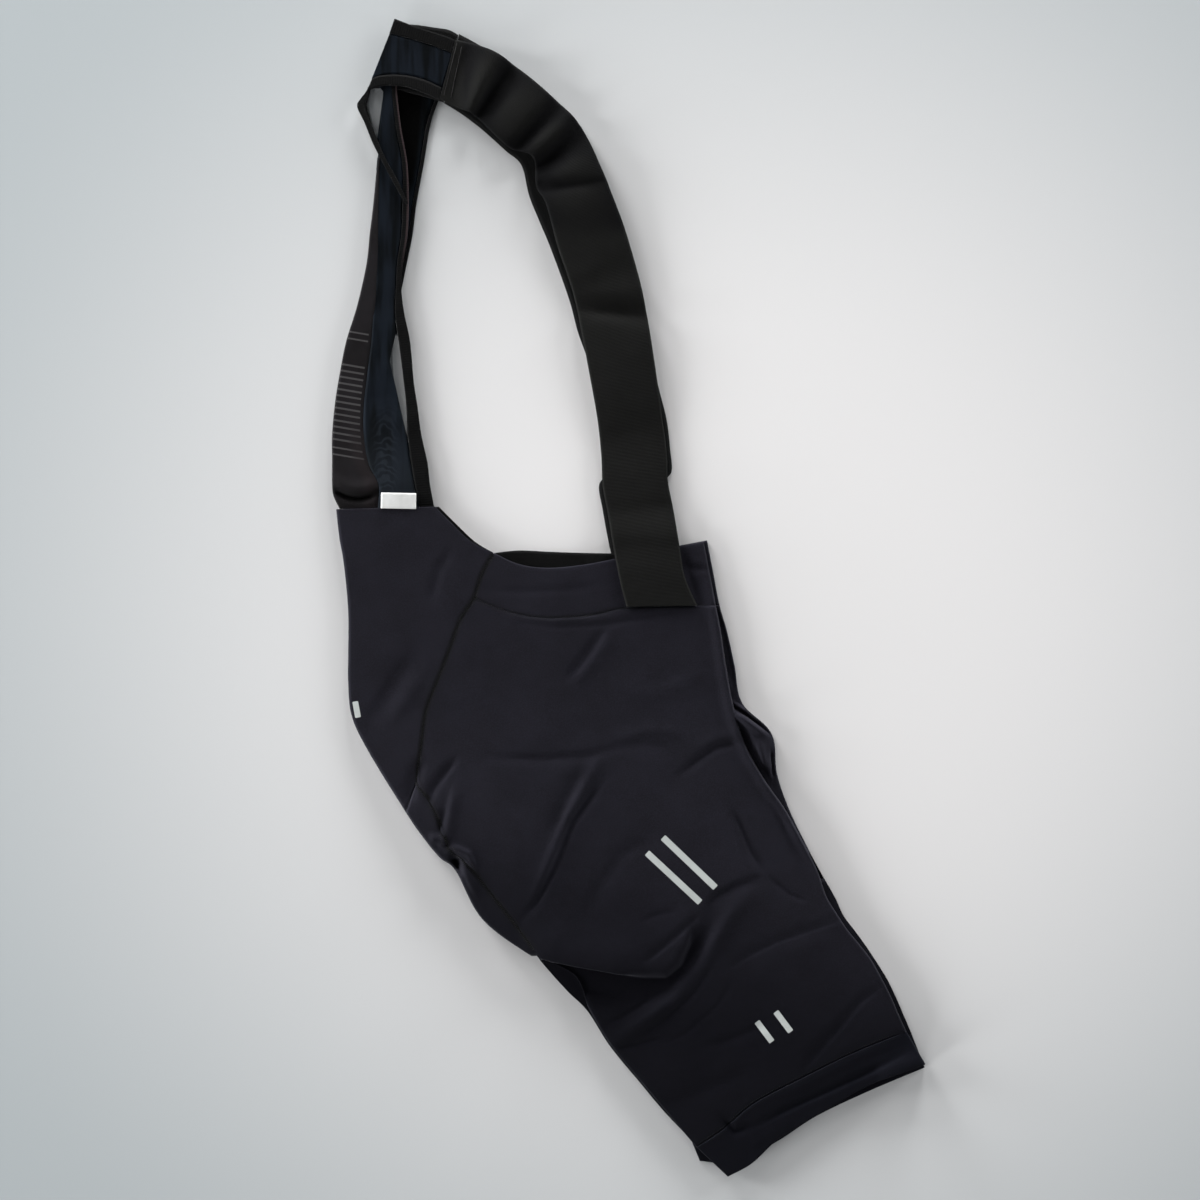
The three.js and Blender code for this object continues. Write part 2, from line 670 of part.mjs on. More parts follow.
// Straps
function upperStrapHeight(x, y) {
  const shoulder = smooth(-100, -146, x) * smooth(340, 380, y);
  const waist = smooth(78, 48, y);
  return mix(mix(upperStrapLayer, shoulderLayer, shoulder), strapOverWaist, waist);
}
function lowerStrapHeight(x, y) {
  const shoulder = smooth(-100, -146, x) * smooth(340, 380, y);
  return mix(lowerStrapLayer, lowerShoulderLayer, shoulder);
}
const strapGrid = (rows, height) =>
  steps(0, rows.length - 1, 2 * (rows.length - 1)).map((t) => bandRow(along(rows, t), 3, height));
add('strap_right', shell(trim(strapGrid(upperStrapRows, upperStrapHeight), ['first']), strapWall), strapColour);
add('strap_left', shell(trim(strapGrid(lowerStrapRows, lowerStrapHeight), ['first']), strapWall), strapColour);

// Mesh back and bindings
const nearPanel = (y) => smooth(122, 76, y);
const upperBackHeight = (x, y) => mix(upperBackLayer, waistHeight, nearPanel(y));
const flatHeight = () => floorLayer;
function backPiece(rows, fold, shoulderRows, column, under, over, columns, edges) {
  const list = backGrid(rows, fold, shoulderRows, [column, column], under, over);
  return shell(trim(list.map(({ edges: ends, height }) => bandRow(ends, columns, height)), edges), clothWall);
}
const upperBack = (column, columns, edges) =>
  backPiece(upperBackRows, upperShoulderFold, upperShoulderRows, column, upperBackHeight, shoulderLayer, columns, edges);
const lowerBack = (column, columns, edges) =>
  backPiece(lowerBackRows, lowerShoulderFold, lowerShoulderRows, column, flatHeight, lowerShoulderLayer, columns, edges);
add('mesh_back_right', upperBack(0, 3, ['first', 'last', 'right']), meshColour);
add('binding_side_right', upperBack(2, 1, ['first', 'last', 'left']), bindingColour);
add('mesh_back_left', lowerBack(2, 3, ['first', 'last', 'left', 'right']), meshColour);
add('binding_side_left', lowerBack(4, 1, ['first', 'last', 'left']), bindingColour);
add('binding_neck_left', lowerBack(0, 1, ['first', 'last', 'right']), bindingColour);
const neckGrid = steps(0, neckBindingRows.length - 1, 2 * (neckBindingRows.length - 1))
  .map((t) => bandRow(along(neckBindingRows, t), 1, () => shoulderLayer));
add('binding_neck_right', shell(trim(neckGrid, ['last']), clothWall), bindingColour);

// Centre back panel
function centreRow(t) {
  const [contourX, contourY, upperX, upperY, lowerX] = along(centreRows, t);
  const bulge = 1.4 * Math.exp(-(((contourY - 90) / 9) ** 2));
  const top = upperBackHeight(upperX, upperY) + bulge;
  const radius = (top - floorLayer) / 2;
  const row = [];
  for (const u of steps(0, 1, 4)) addPoint(row, [mix(upperX, contourX + radius, u), mix(upperY, contourY, u)], top);
  for (let i = 1; i < 5; i += 1) {
    const angle = Math.PI * (i / 5);
    addPoint(row, [contourX + radius * (1 - Math.sin(angle)), contourY], floorLayer + radius * (1 + Math.cos(angle)));
  }
  for (const u of steps(0, 1, 3)) addPoint(row, [mix(contourX + radius, lowerX, u), mix(contourY, upperY, u)], floorLayer);
  return row;
}
const centreGrid = steps(0, centreRows.length - 1, 2 * (centreRows.length - 1)).map(centreRow);
add('back_centre_panel', shell(trim(centreGrid, ['first', 'left', 'right']), clothWall), centreColour);

// Woven label at the top of the rear panel
const label = new THREE.BoxGeometry(labelLength, labelWidth, labelWall);
label.rotateZ(-0.02);
label.translate(-184, 77.6, waistHeight + clothWall / 2 + seamGap + labelWall / 2);
add('label', label, labelColour);

export default part;
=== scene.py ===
# Looks of the bib shorts laid flat on their left side. Lengths in the tables are millimetres.
import json
import math

import bpy
import numpy as np
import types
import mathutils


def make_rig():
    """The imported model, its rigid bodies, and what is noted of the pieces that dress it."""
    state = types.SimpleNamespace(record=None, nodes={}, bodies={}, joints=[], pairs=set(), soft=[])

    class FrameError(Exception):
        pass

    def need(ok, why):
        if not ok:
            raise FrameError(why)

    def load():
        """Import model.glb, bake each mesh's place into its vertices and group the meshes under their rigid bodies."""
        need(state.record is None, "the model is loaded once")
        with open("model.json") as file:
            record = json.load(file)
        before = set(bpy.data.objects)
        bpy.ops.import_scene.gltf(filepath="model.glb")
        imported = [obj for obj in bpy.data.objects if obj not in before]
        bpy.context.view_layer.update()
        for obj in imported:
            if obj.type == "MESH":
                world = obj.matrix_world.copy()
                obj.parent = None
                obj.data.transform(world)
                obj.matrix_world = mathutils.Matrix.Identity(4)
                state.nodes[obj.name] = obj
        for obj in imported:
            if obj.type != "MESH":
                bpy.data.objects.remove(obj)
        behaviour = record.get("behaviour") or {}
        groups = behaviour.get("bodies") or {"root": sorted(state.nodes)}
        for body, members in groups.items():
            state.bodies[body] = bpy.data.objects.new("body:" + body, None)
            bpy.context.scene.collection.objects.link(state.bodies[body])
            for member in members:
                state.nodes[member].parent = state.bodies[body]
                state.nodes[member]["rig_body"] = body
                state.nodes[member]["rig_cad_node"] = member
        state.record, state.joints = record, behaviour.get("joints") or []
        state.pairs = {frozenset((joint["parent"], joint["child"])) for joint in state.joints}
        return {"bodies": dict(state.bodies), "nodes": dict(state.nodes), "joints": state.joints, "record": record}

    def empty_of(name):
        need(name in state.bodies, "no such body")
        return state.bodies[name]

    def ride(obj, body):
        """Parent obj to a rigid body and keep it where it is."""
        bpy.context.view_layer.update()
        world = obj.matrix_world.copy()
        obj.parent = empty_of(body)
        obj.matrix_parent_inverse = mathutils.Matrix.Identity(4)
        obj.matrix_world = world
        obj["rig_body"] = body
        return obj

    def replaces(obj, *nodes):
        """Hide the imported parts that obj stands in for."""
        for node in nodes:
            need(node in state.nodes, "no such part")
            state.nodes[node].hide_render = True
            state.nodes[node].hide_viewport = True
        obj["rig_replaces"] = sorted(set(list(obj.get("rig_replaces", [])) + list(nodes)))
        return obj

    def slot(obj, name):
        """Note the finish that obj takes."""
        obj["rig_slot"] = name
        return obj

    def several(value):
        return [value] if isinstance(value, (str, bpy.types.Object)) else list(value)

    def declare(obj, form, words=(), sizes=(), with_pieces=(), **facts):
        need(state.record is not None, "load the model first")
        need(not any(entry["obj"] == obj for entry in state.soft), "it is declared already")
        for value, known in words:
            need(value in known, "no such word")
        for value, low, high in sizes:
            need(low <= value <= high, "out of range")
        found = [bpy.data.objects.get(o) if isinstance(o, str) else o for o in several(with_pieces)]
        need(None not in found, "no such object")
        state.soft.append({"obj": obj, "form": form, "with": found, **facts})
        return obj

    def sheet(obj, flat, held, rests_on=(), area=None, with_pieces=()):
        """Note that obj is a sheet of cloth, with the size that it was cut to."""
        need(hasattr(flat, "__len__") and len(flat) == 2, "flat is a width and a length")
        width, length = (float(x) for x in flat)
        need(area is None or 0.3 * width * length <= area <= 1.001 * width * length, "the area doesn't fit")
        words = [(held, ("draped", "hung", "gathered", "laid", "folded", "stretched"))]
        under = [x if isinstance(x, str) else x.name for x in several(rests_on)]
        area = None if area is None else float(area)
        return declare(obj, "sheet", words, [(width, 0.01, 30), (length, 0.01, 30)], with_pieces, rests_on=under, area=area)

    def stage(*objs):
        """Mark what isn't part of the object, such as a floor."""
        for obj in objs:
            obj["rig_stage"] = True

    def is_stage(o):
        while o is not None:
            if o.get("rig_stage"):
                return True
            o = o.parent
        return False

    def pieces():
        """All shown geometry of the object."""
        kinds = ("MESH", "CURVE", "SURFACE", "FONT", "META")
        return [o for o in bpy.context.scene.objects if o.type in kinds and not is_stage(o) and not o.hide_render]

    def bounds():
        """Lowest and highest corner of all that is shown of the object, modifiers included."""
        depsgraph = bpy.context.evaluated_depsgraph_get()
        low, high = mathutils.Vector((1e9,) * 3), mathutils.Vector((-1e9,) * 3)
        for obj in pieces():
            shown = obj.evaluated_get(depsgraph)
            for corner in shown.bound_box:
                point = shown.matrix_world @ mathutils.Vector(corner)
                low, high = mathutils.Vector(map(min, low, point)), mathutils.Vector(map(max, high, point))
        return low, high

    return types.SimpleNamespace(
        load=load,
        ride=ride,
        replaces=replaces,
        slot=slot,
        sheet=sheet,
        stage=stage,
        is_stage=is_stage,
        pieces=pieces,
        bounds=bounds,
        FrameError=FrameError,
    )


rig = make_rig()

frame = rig.load()
cad_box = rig.bounds()

MM = 0.001
WALL = 0.9
MESH_WALL = 0.35
STRAP_WALL = 1.5
CLOTH = 1.0
SEAM_GAP = 0.12
WAIST_HEIGHT = 4.0
THIGH_HEIGHT = 6.2
SEAT_RISE = 5.2
FOLD_RADIUS = 0.95
LEG_REACH = 1.1
TORSO_REACH = 1.8
UNDER_LAP = 5.0
SHOULDER_RADIUS = 0.65
FLOOR_LAYER = 0.5
LOWER_THIGH_LAYER = 1.5
UPPER_THIGH_LAYER = 2.45
STRAP_LIFT = 1.9
UPPER_STRAP_LAYER = 2.7
LOWER_STRAP_LAYER = 0.8
STRAP_OVER_WAIST = 5.6
UPPER_BACK_LAYER = 3.1
SHOULDER_LAYER = 4.4
LOWER_SHOULDER_LAYER = 1.8
REAR_SPLIT = 2.15
FRONT_END = 3.3
LOWER_LEG_SPLIT = 1.3
UPPER_LEG_SPLIT = 4.9

WAIST_ROW = 2
GUSSET_ROW = 8
LEG_FRONT_ROW = 10
CROTCH_ROW = 13
HEM_ROW = 19
TOP_ROWS = 3

BODY_ROWS = [
    # rear x, y, seam x, y, front x, y, lower front x, y
    [-228.5, 34, -108, 36, 59, 45, 62, 46],
    [-226, 14, -118, 18, 64, 20, 67, 20],
    [-224.3, -6, -124, 0, 69, -6, 72, -6],
    [-223.8, -22, -135, -18, 73, -27, 78, -27],
    [-224, -45, -144, -43, 77, -54, 84, -54],
    [-224, -68, -153, -66, 83, -86, 90, -84],
    [-221, -95, -162, -90, 92, -116, 113.5, -108.5],
    [-207, -124, -166, -119, 107, -144, 118, -141],
    [-178, -171, -169, -146, 125, -170, 128, -170],
    [-165, -190, -156, -168, 139, -196, 141, -197],
    [-151, -207, -145, -197, 150, -218, 152, -218],
    [-138, -218, -130, -210, 157, -238, 164, -239],
    [-117, -256, -106, -240, 166, -253, 171, -254],
    [-78, -285, -70, -284.5, 174, -265, 180, -266],
    [-43, -302, -43, -302, 183, -276, 188, -277],
    [-31, -329, -31, -329, 193, -289, 197, -290.5],
    [-14, -357, -14, -357, 202, -305, 206.5, -306],
    [9, -385, 9, -385, 209, -319, 213.5, -320.5],
    [31, -411, 31, -411, 215, -333, 219.5, -334.5],
    [54, -438, 54, -438, 221, -346, 225.5, -348.5],
]
REAR_TOP_ROWS = [
    # rear x, y, armhole x, y
    [-233.6, 71, -155, 73],
    [-232.3, 58, -142, 60],
    [-230.6, 45, -126, 45],
]
LOWER_LEG_REAR = [[-50, -313], [-33, -330], [-15, -358], [8, -386], [29, -411], [50, -433]]
WAIST_TOP = [[-108, 36], [-88, 27], [-64, 24], [-33, 27], [-3, 33], [29, 39], [59, 45]]
WAIST_SEAM = [[-124, 0], [-96, -11], [-66, -16], [-31, -14], [-3, -8], [33, -6], [69, -6]]
LOWER_WAIST_TOP = [[-108, 36], [-88, 38], [-64, 37], [-33, 36], [-3, 36], [29, 40], [62, 46]]
HEM_SEAM = [[54, -438], [75, -424], [100, -403], [138, -383], [179, -363], [221, -346]]
HEM_EDGE = [[79, -461.5], [98, -451], [120, -431], [151, -412], [192, -388.5], [236, -372]]
LOWER_HEM_EDGE = [[57, -450], [86, -451], [119, -434], [150, -414], [192, -394], [236, -375.5]]
UPPER_STRAP_ROWS = [
    # inner x, y, outer x, y
    [-151.2, 398.3, -138.4, 445.8], [-134, 390, -120, 441], [-122, 384, -98, 430], [-98, 361, -65, 403],
    [-77, 352, -39, 377], [-74, 329, -21, 340], [-66, 314, -15, 325], [-57, 281, -3, 293],
    [-45, 245, 9, 251], [-38, 213, 15, 221], [-30, 171, 22, 176], [-25, 142, 26, 147],
    [-22, 113, 30, 117], [-21, 90, 31, 93], [-17, 68, 35, 72], [-12, 38, 40, 42],
    [-7, 13, 44.3, 17], [-2, -7, 54.2, -6],
]
LOWER_STRAP_ROWS = [
    # inner x, y, outer x, y
    [-147.8, 395.5, -136, 450.8], [-134, 387, -118, 441], [-118, 375, -99, 428], [-99, 358, -67, 400],
    [-86, 346, -44, 374], [-80, 322, -29, 336], [-72, 302, -19, 318], [-62, 278, -9, 289],
    [-48, 239, 5, 248], [-41, 213, 11, 220], [-33, 190, 18, 196], [-28, 166, 23, 171],
    [-21, 138, 30, 143], [-18, 114, 33, 118], [-17, 100, 34, 101], [-24, 90, 27, 91],
    [-21, 70, 31, 72], [-18, 53, 33, 55], [-14, 34, 38, 37], [-8, 12, 44, 15], [-4, -5, 50, -4],
]
UPPER_BACK_ROWS = [
    # mesh x, y, split x, y, armhole edge x, y
    [-201, 69.8, -167, 70.8, -155.4, 71.2], [-200, 90, -171, 90, -159, 91],
    [-208, 107, -174, 107, -161, 108], [-212, 130, -177, 130, -166, 131],
    [-212, 152, -178, 152, -169, 153], [-210, 172, -180, 172, -172, 173],
    [-206, 204, -184, 204, -175, 205], [-204, 229, -187, 229, -180, 230],
    [-202, 250, -186, 250, -182, 251], [-202, 270, -185, 270, -180, 271],
    [-202, 290, -182, 290, -177, 290], [-202, 314, -181, 314, -176, 314],
    [-201, 346, -181, 346, -177, 346], [-199, 375, -186, 375, -182, 375],
    [-196.3, 404.5, -189.3, 403, -185.3, 402],
]
UPPER_FOLD = [-205.5, 414.5, -191, 451, -187, 462.5]
UPPER_SHOULDER_ROWS = [
    [-196, 417.7, -176, 447, -173, 457], [-180, 417.8, -163, 443, -160, 453],
    [-164, 414.4, -151, 439, -147.5, 449], [-149.2, 408, -141.5, 435, -138.8, 445.4],
]
LOWER_BACK_ROWS = [
    # neck edge x, y, mesh x, y, split x, y, armhole edge x, y
    [-201, 72.1, -199, 72.2, -170, 73, -167, 73.2], [-200, 90, -198, 90, -173, 90, -170, 90],
    [-208, 107, -206, 107, -176, 107, -173, 107], [-212, 130, -210, 130, -181, 131, -178, 131],
    [-212, 152, -210, 152, -186, 153, -183, 153], [-210, 172, -208, 172, -191, 173, -188, 173],
    [-206, 204, -204, 204, -192, 206, -189, 206], [-204, 229, -202, 229, -188, 230, -185, 230],
    [-203, 250, -201, 250, -184, 251, -181, 251], [-202, 270, -200, 270, -180, 271, -177, 271],
    [-202, 290, -199, 290, -176, 291, -173, 291], [-201, 314, -197, 314, -173, 315, -170, 315],
    [-198, 346, -195, 346, -167, 348, -164, 348], [-207, 374, -204, 374, -162, 378, -159, 378],
    [-213, 394, -210, 394, -155, 399, -152, 399],
]
LOWER_FOLD = [-209, 407.5, -206.5, 410, -184, 450, -181, 459]
LOWER_SHOULDER_ROWS = [
    [-190, 408, -186, 416, -173, 449, -169, 458], [-176, 404, -173, 412, -159, 446, -156, 456],
    [-161, 400, -159, 408, -147, 443, -144, 454], [-148, 396, -147, 403, -138, 440, -136.5, 450],
]
NECK_ROWS = [
    # outer x, y, inner x, y
    [-179, 315, -176, 314.5], [-189, 333, -185, 334], [-198, 350, -194, 350],
    [-205, 364, -200.5, 365], [-211, 379, -206.5, 380], [-217, 392, -211.5, 391.5],
    [-214.5, 398.5, -208.8, 400], [-208, 404.8, -205.4, 413.8], [-196, 409, -196, 417.3],
    [-180, 408.3, -180, 417.4], [-164, 403.2, -164, 413.9], [-151.5, 397.8, -149.6, 407.4],
]
CENTRE_ROWS = [
    # contour x, y, upper edge x, y, lower edge x
    [-231, 71.4, -201.3, 72.1, -201.3], [-236, 82, -201.5, 82, -201.5],
    [-237, 93, -201.5, 92, -201.5], [-237, 110, -208.6, 107, -208.6],
    [-237, 130, -212.3, 130, -212.3], [-235, 153, -212.3, 152, -212.3],
    [-232, 173, -210.3, 172, -210.3], [-226, 204, -206.3, 204, -206.3],
    [-218, 230, -204.3, 229, -204.3], [-213, 250, -202.8, 250, -203.3],
    [-209, 270, -202.3, 270, -202.3], [-207, 290, -202.3, 290, -202.3],
    [-204.6, 310, -202.3, 310, -202.3], [-202.6, 330, -202.1, 330, -202.1],
    [-200.9, 352, -201.3, 352, -201.3],
]

# Creases of the upper half: reach to the left and right of the line, height, then the line's points
UPPER_CREASES = [
    (5, 5, 1.5, [(-22, -128), (-34, -143), (-46, -168), (-57, -195), (-66, -218), (-75, -240)]),
    (3, 3, -1.7, [(-20, -144), (-30, -159), (-46, -179), (-57, -207), (-66, -227), (-74, -243), (-85, -256)]),
    (3, 8, -1.2, [(-31, -132), (-41, -150), (-52, -170), (-64, -196)]),
    (5, 4, 0.6, [(-9, -112), (10, -106), (31, -106), (44, -112)]),
    (3, 6, -0.6, [(-12, -119), (10, -116), (34, -120)]),
    (2.5, 5, -0.8, [(-116, -127), (-67, -128), (-31, -125), (-6, -118)]),
    (3.5, 2, -1.1, [(94, -113), (69, -119), (52, -131), (38, -142)]),
    (2.5, 6, 0.5, [(92, -107), (69, -112), (50, -122)]),
    (2.5, 4, -1.2, [(-19, -24), (-34, -46), (-49, -65)]),
    (6, 3, 0.6, [(-13, -28), (-29, -51), (-44, -70)]),
    (9, 6, -1.2, [(-170, -42), (-186, -66), (-198, -85), (-206, -99)]),
    (6, 9, 0.7, [(-166, -60), (-178, -80), (-190, -97)]),
    (4, 4, -0.8, [(-142, 40), (-153, 20), (-158, -3)]),
    (4, 7, -1.5, [(-164, -128), (-173, -154), (-177, -166)]),
    (2.6, 4.5, -1.4, [(-137, -127), (-147, -141), (-156, -153), (-160, -166)]),
    (4, 3.5, -1.0, [(-146, -166), (-148, -178), (-149, -190)]),
    (5, 2.2, 1.5, [(-139, -150), (-142, -166), (-146, -184), (-148, -196)]),
    (3, 4, 2.0, [(-160, -191), (-151, -192), (-146, -198)]),
    (2.4, 2.6, 1.7, [(-148, -201), (-137, -199.5), (-128, -204), (-122, -219)]),
    (2.8, 3.4, -7.2, [(-138.5, -206), (-136.5, -213), (-136.5, -220)]),
    (3.5, 2.6, 1.6, [(-133, -212), (-127, -225), (-122, -236)]),
    (26, 1.9, 4.6, [(-92, -279), (-62, -286.5), (-43, -290.5), (-20, -294.5), (2, -298.5), (16, -301)]),
    (18, 8, 1.3, [(-8, -297), (12, -298), (28, -297), (39, -290), (46, -279), (53, -262), (60, -245)]),
    (2.4, 17, -6.8, [(-78, -290), (-56, -294), (-34, -297.5), (-12, -301.5), (10, -306)]),
    (5.5, 14, -4.2, [(-16, -303), (10, -306), (31, -306), (44, -296), (52, -280), (58, -260)]),
    (2.2, 3, -1.6, [(2, -303), (30, -305), (44, -294), (50, -276), (51, -258)]),
    (2.5, 6, -1.0, [(61, -248), (70, -237), (88, -228), (106, -222)]),
    (6, 7, 2.1, [(-18, -358), (9, -339), (34, -321), (56, -294), (71, -269), (81, -252), (96, -237)]),
    (1.8, 2.5, -0.5, [(-24, -344), (4, -329), (26, -313), (40, -300)]),
    (1.8, 3, -0.45, [(-4, -354), (26, -338), (52, -315), (70, -288)]),
    (1.6, 2.4, -0.35, [(14, -362), (44, -348), (70, -326), (84, -304)]),
    (2.0, 3, -0.7, [(-17, -360), (6, -356), (34, -349)]),
    (3, 3, 1.0, [(-40, -322), (-36, -336), (-28, -352), (-18, -366)]),
    (2.2, 4, -0.8, [(58, -250), (42, -266), (25, -281), (9, -293)]),
    (5, 4, 0.3, [(64, -252), (49, -270), (32, -286)]),
    (2.5, 5, -1.2, [(111, -222), (98, -203), (90, -184), (81, -166)]),
    (6, 3, 0.7, [(104, -226), (90, -206), (82, -186)]),
    (3, 3, -0.9, [(111, -222), (129, -236), (142, -242)]),
    (2.4, 5, -0.6, [(178, -253), (142, -266), (118, -274), (94, -286), (74, -299)]),
    (7, 5, 0.25, [(174, -268), (144, -276), (120, -284), (98, -296)]),
    (2.4, 5, -0.65, [(206, -306), (183, -324), (167, -344), (153, -360), (135, -381)]),
    (8, 5, 0.3, [(208, -322), (190, -338), (176, -356), (158, -374)]),
    (3, 4, -0.5, [(57, -359), (87, -350), (111, -339)]),
    (2, 2.6, -1.2, [(38, 27), (52, 24), (66, 23)]),
    (2.5, 3, -1.1, [(43, 36), (50, 14), (56, -4)]),
    (3, 2, -0.6, [(-91, -19), (-55, -23), (-20, -21), (17, -15), (44, -10)]),
    (3, 4, 0.4, [(-96, -15), (-60, -19), (-25, -17), (10, -11)]),
    (3, 3, -0.4, [(-114, 6), (-79, 5), (-43, 7), (-17, 12)]),
    (4, 8, -0.8, [(150, -222), (134, -202), (122, -176), (112, -150)]),
    (8, 5, 0.5, [(60, -60), (30, -72), (2, -78)]),
    (5, 7, -0.7, [(20, -190), (-6, -206), (-24, -232), (-34, -256)]),
    (2.5, 3, -0.4, [(10, -258), (24, -252), (38, -250)]),
    (6, 6, -0.6, [(30, -404), (62, -392), (96, -378)]),
]
# Creases of the turned-over front edge of the lower half
LEAF_CREASES = [
    (1.2, 1.2, 1.7, [(82, -83), (94, -90.5), (104, -98), (113, -105.5)]),
    (1.0, 1.3, -4.2, [(83, -87), (95, -94.5), (105, -102), (113, -108.5)]),
    (2.0, 3, 1.9, [(86, -93), (98, -101), (111, -111)]),
    (4, 3.5, -4.0, [(88, -102), (95, -118), (103, -134), (112, -149)]),
    (3, 2.5, 1.2, [(103, -112), (107, -128), (111, -141)]),
    (1.6, 1.6, -2.0, [(113, -122), (115, -134), (115, -143)]),
    (3, 3, -1.2, [(70, -10), (76, -40), (84, -70)]),
]
HEM_CREASES = [
    (4, 4, 0.4, [(219, -352), (190, -362), (156, -380), (126, -394), (100, -406)]),
    (10, 10, 3.4, [(198, -384), (214, -378), (237, -368)]),
    (2.2, 3.5, -1.1, [(223, -362), (191, -379), (158, -394), (127, -408), (98, -423)]),
    (3.5, 3.5, -1.3, [(74, -414), (84, -426), (98, -421)]),
    (6, 6, 0.4, [(90, -440), (112, -428), (136, -414)]),
]

# Dips across the upper strap, slanting from its inner to its outer edge
STRAP_DIPS = [
    # row at the inner and the outer edge, reach before and after in rows, depth at the inner and outer edge
    (2.05, 2.2, 0.22, 0.32, 7.2, 6.4), (3.30, 3.36, 0.24, 0.30, 4.2, 4.0), (4.45, 4.05, 0.28, 0.38, 7.2, 5.0),
    (5.10, 5.50, 0.36, 0.60, 4.6, 1.0), (7.95, 7.70, 0.25, 0.30, 0.9, 1.0), (8.40, 8.86, 0.40, 0.26, 4.2, 3.8),
    (11.6, 11.5, 0.4, 0.6, 0.9, 0.9), (14.2, 14.0, 0.35, 0.6, 0.8, 0.8), (15.0, 15.1, 0.3, 0.5, 0.6, 0.6),
]

# The lip of the seat hangs a little over the thigh
LIP = [(-80, -281.5), (-62, -286.5), (-43, -290.5), (-20, -294.5), (0, -298.5)]
LIP_OVERHANG = 2.8


def mix(a, b, f):
    return a + (b - a) * f


def smooth(start, end, value):
    f = np.clip((np.asarray(value, float) - start) / (end - start), 0, 1)
    return f * f * (3 - 2 * f)


def along(rows, t):
    """Smooth curve through rows of numbers, t counting rows; t may have any shape."""
    rows = np.asarray(rows, float)
    t = np.asarray(t, float)
    flat = t.ravel()
    last = len(rows) - 1
    k = np.clip(np.floor(flat).astype(int), 0, last - 1)
    f = (flat - k)[:, None]
    before = rows[np.maximum(k - 1, 0)]
    start = rows[k]
    end = rows[k + 1]
    after = rows[np.minimum(k + 2, last)]
    slope_in = (end - before) / 2
    slope_out = (after - start) / 2
    rise = end - start
    cubic = slope_in + f * (3 * rise - 2 * slope_in - slope_out + f * (slope_in + slope_out - 2 * rise))
    return (start + f * cubic).reshape(t.shape + (rows.shape[1],))


def bow(curve, u):
    """How far a curve bows away from the straight line between its ends."""
    curve = np.asarray(curve, float)
    u = np.asarray(u, float)
    chord = curve[0] + (curve[-1] - curve[0]) * u[..., None]
    return along(curve, u * (len(curve) - 1)) - chord


def hashed(ix, iy, seed):
    """A repeatable number from 0 to 1 for each lattice place."""
    value = np.sin(ix * 127.1 + iy * 311.7 + seed * 74.7) * 43758.5453
    return value - np.floor(value)


def lumps(x, y, size, seed):
    """Smooth uneven height from -1 to 1 with lumps of that size."""
    gx = x / size
    gy = y / size
    ix = np.floor(gx)
    iy = np.floor(gy)
    fx = gx - ix
    fy = gy - iy
    fx = fx * fx * (3 - 2 * fx)
    fy = fy * fy * (3 - 2 * fy)
    low = mix(hashed(ix, iy, seed), hashed(ix + 1, iy, seed), fx)
    high = mix(hashed(ix, iy + 1, seed), hashed(ix + 1, iy + 1, seed), fx)
    return 2 * mix(low, high, fy) - 1


def crease_height(x, y, creases):
    total = np.zeros_like(x)
    for left, right, height, line in creases:
        points = np.asarray(line, float)
        lengths = np.hypot(*np.diff(points, axis=0).T)
        whole = lengths.sum()
        best = np.full(x.shape, 1e9)
        place = np.zeros(x.shape)
        reach = np.full(x.shape, 1.0)
        start = 0.0
        for (ax, ay), (bx, by), length in zip(points[:-1], points[1:], lengths):
            s = ((x - ax) * (bx - ax) + (y - ay) * (by - ay)) / (length * length)
            s = np.clip(s, 0, 1)
            away = np.hypot(x - ax - s * (bx - ax), y - ay - s * (by - ay))
            nearer = away < best
            best = np.where(nearer, away, best)
            beside = (bx - ax) * (y - ay) - (by - ay) * (x - ax)
            blend = smooth(-3, 3, beside / length)
            reach = np.where(nearer, mix(float(right), float(left), blend), reach)
            place = np.where(nearer, start + s * length, place)
            start += length
        taper = np.minimum(place, whole - place) / (0.3 * whole + 1e-6)
        taper = smooth(-0.35, 1, taper)
        total += height * taper * np.exp(-((best / reach) ** 2))
    return total


REAR_EDGE = [row[0:2] for row in BODY_ROWS]
SIDE_SEAM = [row[2:4] for row in BODY_ROWS]
FRONT_EDGE = [row[4:6] for row in BODY_ROWS]
LOWER_FRONT = [row[6:8] for row in BODY_ROWS]
LOWER_SEAM = SIDE_SEAM[:CROTCH_ROW] + [[-75.5, -284]] + LOWER_LEG_REAR
UPPER_REAR = [row[0:2] for row in REAR_TOP_ROWS] + REAR_EDGE
ARMHOLE = [row[2:4] for row in REAR_TOP_ROWS] + [SIDE_SEAM[0]]
LOWER_ARMHOLE = [[x + 3, y] for x, y in ARMHOLE[:-1]] + [SIDE_SEAM[0]]


def seat_share(x, y):
    lengthwise = ((x + 102) * 0.66 - (y + 208) * 0.75) / 92
    across = (-(x + 102) * 0.75 - (y + 208) * 0.66) / 52
    lap_line = -289 - 0.2 * (x + 62)
    behind = np.exp(-(lengthwise**2) - across**2)
    return behind * smooth(-5, 6, y - lap_line)


